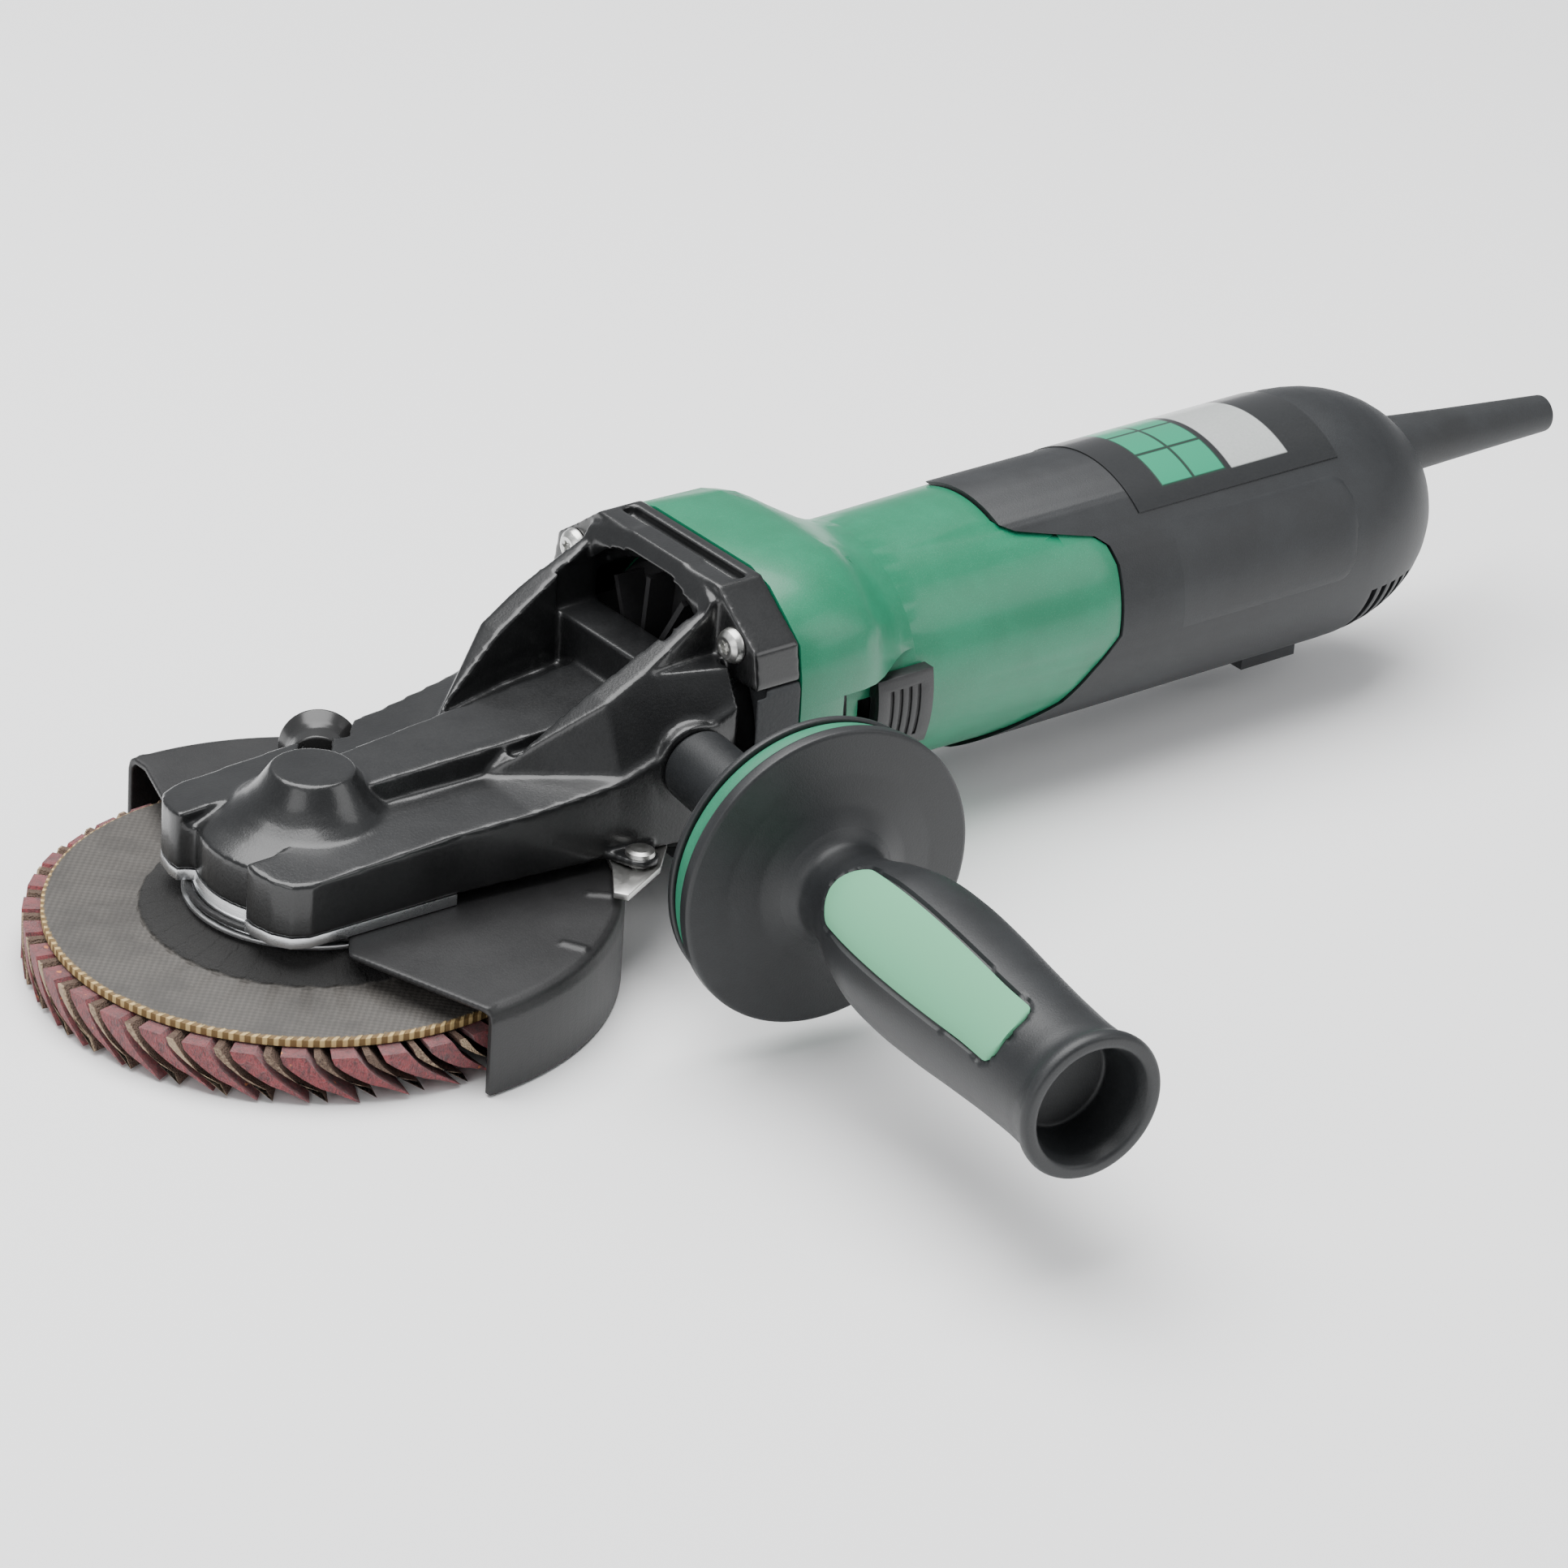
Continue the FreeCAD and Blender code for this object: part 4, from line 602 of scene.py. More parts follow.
# ---------------------------------------------------------------------------------------
# Surfaces
# ---------------------------------------------------------------------------------------
def rounded(profile: Profile, radius: float, steps: int = 4) -> list[tuple[float, float]]:
    """Round the inner corners of an open polyline.

    Args:
        profile: Points of the polyline.
        radius: Length cut off each side of a corner, limited by the sides.
        steps: Number of segments of each rounding.

    Returns:
        The polyline with its corners replaced by short curves.
    """
    points = [np.array(point, float) for point in profile]
    result = [points[0]]
    for before, corner, after in zip(points, points[1:], points[2:]):
        back, ahead = before - corner, after - corner
        reach = min(radius, 0.45 * np.linalg.norm(back), 0.45 * np.linalg.norm(ahead))
        start = corner + back / np.linalg.norm(back) * reach
        end = corner + ahead / np.linalg.norm(ahead) * reach
        for share in np.linspace(0, 1, steps + 1):
            result.append((1 - share) ** 2 * start + 2 * share * (1 - share) * corner + share**2 * end)
    result.append(points[-1])
    return [tuple(point) for point in result]


def flowing(points: Profile, step: float) -> list[tuple[float, float]]:
    """Smooth curve through points, sampled about every step along its first number.

    Args:
        points: Points with a rising first number.
        step: Wanted distance between samples.

    Returns:
        The sampled curve.
    """
    knots = np.array(points, float)
    slopes = np.gradient(knots[:, 1], knots[:, 0])
    result = []
    for index in range(len(knots) - 1):
        (x0, y0), (x1, y1) = knots[index], knots[index + 1]
        count = max(2, int(math.ceil((x1 - x0) / step)))
        for share in np.arange(count) / count:
            cubic = share * share * (3 - 2 * share)
            bend = share * (1 - share) * (x1 - x0)
            bulge = bend * (slopes[index] * (1 - share) - slopes[index + 1] * share)
            result.append((x0 + share * (x1 - x0), y0 + cubic * (y1 - y0) + bulge))
    result.append(tuple(knots[-1]))
    return result


def mesh_from(
    name: str, points: np.ndarray, faces: list[Sequence[int]], sharp_degrees: float = 40.0
) -> bpy.types.Mesh:
    """Make a smooth-shaded mesh whose creases stay sharp.

    Args:
        name: Name of the mesh.
        points: Points in millimetres.
        faces: Corner indices of each face.
        sharp_degrees: Edges that bend more than this stay sharp.

    Returns:
        The mesh, in metres.
    """
    mesh = bpy.data.meshes.new(name)
    mesh.from_pydata((np.asarray(points, float) * MM).tolist(), [], faces)
    mesh.validate()
    tidy = bmesh.new()
    tidy.from_mesh(mesh)
    bmesh.ops.recalc_face_normals(tidy, faces=tidy.faces)
    tidy.to_mesh(mesh)
    tidy.free()
    mesh.shade_smooth()
    mesh.set_sharp_from_angle(angle=math.radians(sharp_degrees))
    return mesh


def grid_faces(rows: int, columns: int, base: int = 0, closed: bool = False) -> list[list[int]]:
    """Quads between neighbours of a grid whose columns run round in a circle.

    Args:
        rows: Number of rows.
        columns: Number of columns.
        base: Number of the grid's first point.
        closed: Whether the last row joins the first one.

    Returns:
        The corners of each quad.
    """
    here = np.arange(rows * columns).reshape(rows, columns) + base
    after = np.roll(here, -1, axis=1)
    quads = np.stack([here, after, np.roll(after, -1, axis=0), np.roll(here, -1, axis=0)], axis=-1)
    return (quads if closed else quads[:-1]).reshape(-1, 4).tolist()


def lathe(
    name: str, profile: Profile, segments: int, frame_of: Matrix = Matrix.Identity(4),
    shape: Optional[Reshape] = None,
) -> bpy.types.Mesh:
    """Turn a profile about an axis: each point is (r cos t, r sin t, h) for its radius, height and angle.

    Args:
        name: Name of the mesh.
        profile: (radius, height) points. Ends on the axis close there; other profiles close on themselves.
        segments: Number of segments round the axis.
        frame_of: Placement of the axis, in millimetres.
        shape: Changes the radii, from the radii, heights and angles.

    Returns:
        The mesh.
    """
    rows = np.array(profile, float)
    open_ended = rows[0, 0] < 1e-6 and rows[-1, 0] < 1e-6
    inner = rows[1:-1] if open_ended else rows
    radii = np.repeat(inner[:, :1], segments, axis=1)
    heights = np.repeat(inner[:, 1:], segments, axis=1)
    turns = np.repeat((np.arange(segments) * math.tau / segments)[None, :], len(inner), axis=0)
    if shape is not None:
        radii = shape(radii, heights, turns)
    points = np.stack([radii * np.cos(turns), radii * np.sin(turns), heights], axis=-1).reshape(-1, 3)
    faces = grid_faces(len(inner), segments, closed=not open_ended)
    if open_ended:
        first, last = len(points), len(points) + 1
        points = np.vstack([points, [[0, 0, rows[0, 1]], [0, 0, rows[-1, 1]]]])
        column = np.arange(segments)
        after = np.roll(column, -1)
        top = (len(inner) - 1) * segments
        fans = np.stack([np.full(segments, first), after, column, np.full(segments, last), top + column,
                         top + after], axis=-1)
        faces += fans.reshape(-1, 3).tolist()
    turned = np.array(frame_of.to_3x3(), float)
    offset = np.array(frame_of.translation, float)
    return mesh_from(name, points @ turned.T + offset, faces)


def loop_solid(name: str, loops: np.ndarray, sharp_degrees: float = 40.0) -> bpy.types.Mesh:
    """Closed solid through equal closed loops of points, capped at both ends.

    Args:
        name: Name of the mesh.
        loops: Array of loops, points and coordinates, in millimetres.
        sharp_degrees: Edges that bend more than this stay sharp.

    Returns:
        The mesh.
    """
    points, faces = loop_faces(loops, 0)
    return mesh_from(name, points, faces, sharp_degrees)


def loop_faces(loops: np.ndarray, base: int) -> tuple[np.ndarray, list[Sequence[int]]]:
    """Points and faces of a capped stack of loops.

    Args:
        loops: Array of loops, points and coordinates.
        base: Number of the first point.

    Returns:
        The points, and the corners of each face.
    """
    count, size, _ = loops.shape
    faces: list[Sequence[int]] = grid_faces(count, size, base)
    faces.append(tuple(range(base + size - 1, base - 1, -1)))
    faces.append(tuple(range(base + (count - 1) * size, base + count * size)))
    return loops.reshape(-1, 3), faces


def shell_arc(
    x: np.ndarray, turns: np.ndarray, outer: np.ndarray, inner: float, axis_height: float, side: int = 1
) -> np.ndarray:
    """Loops of a thin shell round the motor axis, outer face forwards and inner face back.

    Each point is (x, side r cos t, axis_height + r sin t).

    Args:
        x: Station of each loop.
        turns: Angles of each loop's points, one row for each station.
        outer: Outer radius at each point.
        inner: Inner radius.
        axis_height: Height of the motor axis.
        side: 1, or -1 to mirror the shell.

    Returns:
        Array of loops, points and coordinates.
    """
    angles = np.hstack([turns, turns[:, ::-1]])
    radii = np.hstack([outer, np.full_like(turns, inner)])
    along = np.repeat(x[:, None], angles.shape[1], axis=1)
    return np.stack([along, side * radii * np.cos(angles), axis_height + radii * np.sin(angles)], axis=-1)


def standing(origin: Vector, axis: Vector, facing: Optional[Vector] = None) -> Matrix:
    """Placement whose Z runs along an axis and whose X looks towards facing.

    Args:
        origin: Origin in millimetres.
        axis: Direction of the placement's Z.
        facing: Direction that X leans to.

    Returns:
        The placement.
    """
    up = axis.normalized()
    hint = facing or (Vector((1, 0, 0)) if abs(up.x) < 0.9 else Vector((0, 1, 0)))
    ahead = (hint - up * hint.dot(up)).normalized()
    side = up.cross(ahead)
    placed = Matrix((ahead, side, up)).transposed().to_4x4()
    placed.translation = origin
    return placed


# ---------------------------------------------------------------------------------------
# Pieces
# ---------------------------------------------------------------------------------------
class Builder:
    """Adds pieces to the scene and ties them to the CAD bodies."""

    def __init__(self, loaded: dict) -> None:
        """Read the nodes, bodies and material slots.
        """
        self.nodes: dict = loaded["nodes"]
        record = loaded["record"]
        groups = record["behaviour"]["bodies"]
        self.body_of = {node: body for body, members in groups.items() for node in members}
        self.slot_of = {part["node"]: part["material_slot"] for part in record["subparts"]}

    def add(
        self, name: str, mesh: bpy.types.Mesh, look: Look, node: str, replace: bool = True
    ) -> bpy.types.Object:
        """Add a mesh that rides with a CAD node's body.

        Args:
            name: Name of the piece.
            mesh: Its mesh, in place.
            look: Its finish.
            node: The CAD node it belongs to.
            replace: Whether it stands for that node.

        Returns:
            The new object.
        """
        piece = bpy.data.objects.new(name, mesh)
        bpy.context.scene.collection.objects.link(piece)
        mesh.materials.clear()
        mesh.materials.append(look.material())
        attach(piece, self.body_of[node])
        if replace:
            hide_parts(node)
        LOG.info("piece %s: %d faces, rides %s", name, len(mesh.polygons), self.body_of[node])
        return piece

    def copy_mesh(self, node: str) -> bpy.types.Mesh:
        """A joined-up copy of a CAD node's mesh.

        Args:
            node: The CAD node.

        Returns:
            The copy, without materials.
        """
        mesh = self.nodes[node].data.copy()
        work = bmesh.new()
        work.from_mesh(mesh)
        bmesh.ops.remove_doubles(work, verts=work.verts, dist=WELD)
        work.to_mesh(mesh)
        work.free()
        mesh.materials.clear()
        return mesh

    def baked(self, name: str, mesh: bpy.types.Mesh, modifiers: Sequence[tuple[str, dict]]) -> bpy.types.Mesh:
        """Run modifiers over a mesh.

        Args:
            name: Name of the new mesh.
            mesh: The mesh to work on.
            modifiers: Modifier types with their settings, in order.

        Returns:
            A new mesh with the modifiers applied.
        """
        carrier = bpy.data.objects.new(name + "_work", mesh)
        bpy.context.scene.collection.objects.link(carrier)
        for kind, settings in modifiers:
            modifier = carrier.modifiers.new(kind.lower(), kind)
            for key, setting in settings.items():
                setattr(modifier, key, setting)
        graph = bpy.context.evaluated_depsgraph_get()
        result = bpy.data.meshes.new_from_object(carrier.evaluated_get(graph))
        result.name = name
        bpy.data.objects.remove(carrier)
        return result

    def cast(self, node: str, look: Look, voxel: float, smooth: int, keep: float) -> bpy.types.Object:
        """Replace a CAD node by a copy with softened edges.

        Args:
            node: The CAD node.
            look: Its finish.
            voxel: Detail size in millimetres.
            smooth: Smoothing passes.
            keep: Share of the faces that stay.

        Returns:
            The new object.
        """
        steps = [
            ("REMESH", {"mode": "VOXEL", "voxel_size": voxel * MM}),
            ("SMOOTH", {"factor": 0.5, "iterations": smooth}),
            ("DECIMATE", {"ratio": keep}),
        ]
        mesh = self.baked(node + "_soft", self.copy_mesh(node), steps)
        mesh.shade_smooth()
        return self.add(node + "_look", mesh, look, node)

    def bevelled(self, node: str, look: Look, width: float) -> bpy.types.Object:
        """Replace a CAD node by a copy with small chamfers along its edges.

        Args:
            node: The CAD node.
            look: Its finish.
            width: Chamfer width in millimetres.

        Returns:
            The new object.
        """
        source = self.copy_mesh(node)
        work = bmesh.new()
        work.from_mesh(source)
        bmesh.ops.dissolve_limit(work, angle_limit=math.radians(1.0), verts=work.verts, edges=work.edges)
        work.to_mesh(source)
        work.free()
        steps = [
            ("BEVEL", {"width": width * MM, "segments": 2, "limit_method": "ANGLE",
                       "angle_limit": math.radians(40), "use_clamp_overlap": True}),
            ("TRIANGULATE", {}),
        ]
        mesh = self.baked(node + "_edged", source, steps)
        mesh.shade_smooth()
        mesh.set_sharp_from_angle(angle=math.radians(38))
        return self.add(node + "_look", mesh, look, node)

    def paint(self, node: str, look: Look) -> None:
        """Give a CAD node its finish.

        Args:
            node: The CAD node.
            look: Its finish.
        """
        holder = self.nodes[node]
        if not holder.material_slots:
            holder.data.materials.append(look.material())
        for held in holder.material_slots:
            held.material = look.material()


@dataclass
class FlapDisc:
    """The disc: woven backing plate and two sets of flaps.

    Attributes:
        plate_top: Height of the plate's top in millimetres.
        plate_thick: Thickness of the plate.
        plate_radius: Radius of the plate.
        hub_top: Height of the hub.
        flap_inner: Inner radius of the flaps.
        flap_outer: Outer radius of the flaps.
        flap_bottom: Lowest point of the flaps.
        waves: Number of waves round the hub's edge.
        wave_depth: Depth of a wave.
        slant: How much higher a flap's trailing corner ends than its leading one.
        pairs: Number of flap pairs.
    """

    plate_top: float = 9.0
    plate_thick: float = 2.5
    plate_radius: float = 58.0
    hub_top: float = 14.0
    flap_inner: float = 40.0
    flap_outer: float = 62.3
    flap_bottom: float = -4.9
    waves: int = 34
    wave_depth: float = 0.3
    slant: float = 2.6
    pairs: int = 36

    def plate(self) -> bpy.types.Mesh:
        """The backing plate with its raised hub.

        Returns:
            The mesh.
        """
        bottom = self.plate_top - self.plate_thick
        top = self.plate_top
        profile = [(11.13, self.hub_top - 2.5), (21.0, self.hub_top - 2.5), (36.0, bottom), (57.0, bottom),
                   (self.plate_radius, bottom + 0.4), (self.plate_radius, top - 0.5), (57.2, top),
                   (37.3, top), (36.8, top + 0.5), (35.6, top + 1.2), (33.5, top + 1.5),
                   (22.0, self.hub_top - 0.3), (19.5, self.hub_top), (11.13, self.hub_top)]

        def scalloped(radii: np.ndarray, heights: np.ndarray, turns: np.ndarray) -> np.ndarray:
            """Wave the step at the hub's edge."""
            on_step = (heights > top + 0.2) & (radii > 34.0)
            return radii + on_step * self.wave_depth * np.sin(turns * self.waves)

        return lathe("backing_plate_mesh", profile, 272, shape=scalloped)

    def flaps(self, start: float, share: float, top_offset: float, seed: int) -> bpy.types.Mesh:
        """One set of slanted flaps, each a bent sheet whose angle grows with depth**1.35.

        Args:
            start: Where a flap starts within its pair, as a share of the pitch.
            share: Width of a flap as a share of the pitch.
            top_offset: How far the flaps stop below the plate.
            seed: Seed of the small irregularities.

        Returns:
            The mesh of the whole set.
        """
        dice = np.random.default_rng(seed)
        pitch = math.tau / self.pairs
        ceiling = self.plate_top - self.plate_thick - top_offset
        level = np.linspace(0, 1, 7)[None, :]
        station = np.linspace(0, 1, 6)[:, None]
        ends = (level == 0.0) | (level == 1.0)
        pinch = 0.06 * np.sin(level * math.pi) + 0.06 * ends
        all_points, all_faces, base = [], [], 0
        for number in range(self.pairs):
            bottom = self.flap_bottom + dice.uniform(0.0, 0.9)
            lean = dice.uniform(1.05, 1.2)
            reach = self.flap_outer - dice.uniform(0.0, 0.9)
            wobble = dice.uniform(-0.05, 0.05, 3)
            radius = self.flap_inner + (reach - self.flap_inner) * station
            sway = wobble[0] * np.sin(station * 5) + wobble[1] * station
            height = ceiling + (bottom - ceiling) * level
            turn = number + start + lean * level**1.35 + sway * level
            angles = np.hstack([turn + pinch, (turn + share - pinch)[:, ::-1]]) * pitch
            heights = np.hstack([height + self.slant * level**2, height[:, ::-1]])
            loops = np.stack([radius * np.cos(angles), radius * np.sin(angles),
                              np.repeat(heights, len(station), axis=0)], axis=-1)
            points, faces = loop_faces(loops, base)
            all_points.append(points)
            all_faces += faces
            base += len(points)
        return mesh_from("flap_mesh_%d" % seed, np.vstack(all_points), all_faces, 50.0)

    def build(self, builder: Builder) -> None:
        """Add the disc's pieces.

        Args:
            builder: Takes the pieces.
        """
        builder.add("backing_plate_look", self.plate(), Look.PLATE, "backing_plate")
        builder.add("fleece_flaps", self.flaps(0.0, 0.62, 0.05, 3), Look.FLEECE, "flap_pack")
        builder.add("cloth_flaps", self.flaps(0.66, 0.26, 0.05, 8), Look.CLOTH, "flap_pack", replace=False)


@dataclass
class SideHandle:
    """Side handle: neck with rear disc, damping ring, grip with hand disc and a soft inlay.

    Attributes:
        seat: Where the neck meets the head, in millimetres.
        direction: Direction of the handle's axis.
        facing: Direction that the inlay faces.
        disc_radius: Radius of the hand disc.
        rear_radius: Radius of the rear disc.
        inlay_start: Where the inlay starts from the seat.
        inlay_end: Where the inlay ends.
        inlay_half: Half width of the inlay.
        nose: Length of the inlay's round front end.
        tail: Length of its rear end.
    """

    seat: Vector
    direction: Vector
    facing: Vector
    disc_radius: float = 34.9
    rear_radius: float = 33.5
    inlay_start: float = 71.5
    inlay_end: float = 142.6
    inlay_half: float = 8.9
    nose: float = 7.0
    tail: float = 3.0

    def grip_curve(self) -> list[tuple[float, float]]:
        """Radius of the grip against the distance from the seat."""
        return flowing([(59.4, 13.8), (61.3, 11.7), (64.5, 10.9), (70.0, 11.8), (78.0, 14.6), (87.0, 16.8),
                        (98.0, 17.5), (111.0, 17.1), (125.0, 16.1), (139.0, 15.3), (150.0, 15.2),
                        (154.5, 15.6), (156.5, 16.5)], 1.0)

    def half_width(self, along: np.ndarray) -> np.ndarray:
        """Half width of the inlay: quarter-circle ends and a sine swelling between them.

        Args:
            along: Distances from the seat.

        Returns:
            The half widths.
        """
        nose = np.clip((along - self.inlay_start) / self.nose, 0, 1)
        tail = np.clip((self.inlay_end - along) / self.tail, 0, 1)
        swell = 0.86 + 0.14 * np.sin(np.clip((along - self.inlay_start) / 60.0, 0, 1) * math.pi)
        return self.inlay_half * np.sqrt(nose * (2 - nose)) * np.sqrt(tail * (2 - tail)) * swell

    def grip(self) -> bpy.types.Mesh:
        """The grip body with its hand disc, inlay groove and open end.

        Returns:
            The mesh.
        """
        disc = rounded([(0.0, 52.4), (34.0, 52.4), (self.disc_radius, 53.0), (self.disc_radius, 55.6),
                        (34.2, 56.0), (25.0, 56.5), (18.0, 57.7), (13.9, 59.3)], 0.7, 3)
        neck = [(radius, along) for along, radius in self.grip_curve()]
        end = rounded([(16.6, 156.8), (16.8, 158.0), (16.2, 159.4), (13.6, 159.4), (12.3, 156.4),
                       (11.0, 146.6), (0.0, 146.6)], 0.8, 3)

        def grooved(radii: np.ndarray, heights: np.ndarray, turns: np.ndarray) -> np.ndarray:
            """Sink the seat of the inlay where the angle times the radius is inside its half width."""
            turns = np.where(turns > math.pi, turns - math.tau, turns)
            aside = np.abs(turns) * radii - self.half_width(heights)
            inside = (heights > self.inlay_start - 1) & (heights < self.inlay_end + 1) & (radii > 10)
            return radii - np.where(inside & (aside < 0.8), 0.7, 0.0)

        place = standing(self.seat, self.direction, self.facing)
        return lathe("grip_mesh", disc + neck + end, 160, place, grooved)

    def inlay(self) -> bpy.types.Mesh:
        """The soft inlay, a thin closed strip that follows the grip with a crowned outer face.

        Returns:
            The mesh.
        """
        curve = np.array(self.grip_curve())
        front = np.linspace(0, math.pi / 2, 9)[:-1]
        rear = np.linspace(0, math.pi / 2, 6)[1:]
        along = np.concatenate([
            self.inlay_start + 0.25 + self.nose * (1 - np.cos(front)),
            np.linspace(self.inlay_start + 7.3, self.inlay_end - 3.2, 44),
            self.inlay_end - self.tail * (1 - np.sin(rear)) - 0.2,
        ])[:, None]
        radius = np.interp(along, curve[:, 0], curve[:, 1])
        across = np.linspace(-1, 1, 15)[None, :]
        turns = across * np.maximum(0.35, self.half_width(along)) / radius
        crown = 0.30 - 0.55 * np.abs(across) ** 8
        angles = np.hstack([turns, turns[:, ::-1]])
        radii = np.hstack([radius + crown, np.repeat(radius - 0.95, across.size, axis=1)])
        loops = np.stack([radii * np.cos(angles), radii * np.sin(angles),
                          np.repeat(along, angles.shape[1], axis=1)], axis=-1)
        place = np.array(standing(self.seat, self.direction, self.facing), float)
        return loop_solid("inlay_mesh", loops @ place[:3, :3].T + place[:3, 3], 60.0)

    def build(self, builder: Builder) -> None:
        """Add the handle's pieces.

        Args:
            builder: Takes the pieces.
        """
        place = standing(self.seat, self.direction, self.facing)
        neck = rounded([(4.05, 0.25), (7.8, 0.25), (8.6, 1.2), (8.7, 39.0), (9.6, 42.0), (15.0, 44.2),
                        (32.8, 44.8), (self.rear_radius, 45.6), (self.rear_radius, 46.8), (33.0, 47.1),
                        (14.0, 47.1), (14.0, 52.0), (4.05, 52.0)], 1.0, 3)
        ring = rounded([(14.05, 47.2), (32.4, 47.2), (33.2, 48.3), (33.3, 50.6), (32.4, 52.2),
                        (14.05, 52.2)], 0.9, 3)
        ring_mesh = lathe("ring_mesh", ring, 128, place)
        builder.add("handle_neck_look", lathe("neck_mesh", neck, 128, place), Look.GRIP, "handle_neck")
        builder.add("damping_ring_look", ring_mesh, Look.GREEN_RING, "damping_ring")
        builder.add("handle_grip_look", self.grip(), Look.GRIP, "handle_grip")
        builder.add("grip_inlay_look", self.inlay(), Look.SOFT_GREEN, "grip_inlay")


@dataclass
class CordSleeve:
    """Tapered bend sleeve at the rear.

    Attributes:
        start: Start of the sleeve's axis in millimetres.
        direction: Direction of the axis.
    """

    start: Vector
    direction: Vector

    def build(self, builder: Builder) -> None:
        """Add the sleeve.

        Args:
            builder: Takes the piece.
        """
        outer = rounded([(3.62, 0.1), (9.1, 0.1), (9.1, 2.4), (7.2, 2.4), (7.2, 8.2), (7.8, 9.8)], 0.3, 2)
        outer += [(7.8 - 3.1 * share**0.9, 9.8 + 52.4 * share) for share in np.linspace(0.05, 1, 26)]
        outer += rounded([(4.66, 62.6), (4.6, 63.9), (3.62, 63.9)], 0.5, 3)[1:]
        mesh = lathe("sleeve_mesh", outer, 72, standing(self.start, self.direction))
        builder.add("cord_sleeve_look", mesh, Look.SLEEVE, "cord_sleeve")


@dataclass
class LockButton:
    """Glossy spindle lock button.

    Attributes:
        axis_point: A point on its axis in millimetres.
        direction: Direction the button stands out.
        base: Start of its stem along the axis.
        face: Its face along the axis.
    """

    axis_point: Vector
    direction: Vector
    base: float = 32.35
    face: float = 42.0

    def build(self, builder: Builder) -> None:
        """Add the button.

        Args:
            builder: Takes the piece.
        """
        profile = rounded([(0.0, self.base), (6.9, self.base), (6.9, 36.6), (7.5, 38.4), (9.2, 41.2),
                           (9.0, self.face - 0.1), (8.0, self.face), (5.5, self.face - 0.7),
                           (3.0, self.face - 1.1), (0.0, self.face - 1.2)], 0.6, 4)
        mesh = lathe("button_mesh", profile, 96, standing(self.axis_point, self.direction))
        builder.add("lock_button_look", mesh, Look.GLOSS_BLACK, "lock_button")


@dataclass
class CaseScrews:
    """Four pan-head screws with six-lobed sockets.

    Attributes:
        seat: X of the surface the heads sit on, in millimetres.
        places: (Y, Z) of each screw.
        head: Radius of a head.
    """

    seat: float
    places: Sequence[tuple[float, float]]
    head: float = 4.1

    def build(self, builder: Builder) -> None:
        """Add the screws as one piece.

        Args:
            builder: Takes the piece.
        """
        points, faces, base = [], [], 0
        profile = rounded([(0.0, 1.5), (1.6, 1.4), (1.65, 0.25), (2.5, 0.15), (3.7, 1.2), (self.head, 2.4),
                           (self.head, 2.95), (1.9, 2.95), (1.9, 12.0), (0.0, 12.0)], 0.25, 3)

        def lobed(radii: np.ndarray, heights: np.ndarray, turns: np.ndarray) -> np.ndarray:
            """Give the socket its six lobes."""
            socket = (radii < 1.72) & (heights < 1.5)
            return radii * np.where(socket, 0.84 + 0.16 * np.cos(6 * turns), 1.0)

        for y, z in self.places:
            place = standing(Vector((self.seat - 3.0, y, z)), Vector((1, 0, 0)))
            mesh = lathe("screw_part", profile, 48, place, lobed)
            count = len(mesh.vertices)
            flat = np.zeros(count * 3)
            mesh.vertices.foreach_get("co", flat)
            points.append(flat.reshape(-1, 3) / MM)
            faces += [tuple(base + corner for corner in face.vertices) for face in mesh.polygons]
            base += count
            bpy.data.meshes.remove(mesh)
        screws = mesh_from("screws_mesh", np.vstack(points), faces)
        builder.add("case_screws_look", screws, Look.ZINC, "case_screws")


@dataclass
class LabelBand:
    """Thin label wrapped over the crown of the rear housing.

    Attributes:
        start: Where it starts along X in millimetres.
        end: Where it ends.
        radius: Outer radius about the motor axis.
        under: Inner radius.
        half_turn: Half of the angle it covers, in degrees.
        axis_height: Height of the motor axis.
    """

    start: float = 217.0
    end: float = 279.0
    radius: float = 30.93
    under: float = 30.63
    half_turn: float = 39.0
    axis_height: float = 36.0

    def build(self, builder: Builder) -> None:
        """Add the label.

        Args:
            builder: Takes the piece.
        """
        stations = np.linspace(self.start, self.end, 12)
        turns = np.radians(np.linspace(90 - self.half_turn, 90 + self.half_turn, 33))
        turns = np.repeat(turns[None, :], len(stations), axis=0)
        loops = shell_arc(stations, turns, np.full_like(turns, self.radius), self.under, self.axis_height)
        builder.add("label_look", loop_solid("label_mesh", loops), Look.LABEL, "label_plate")


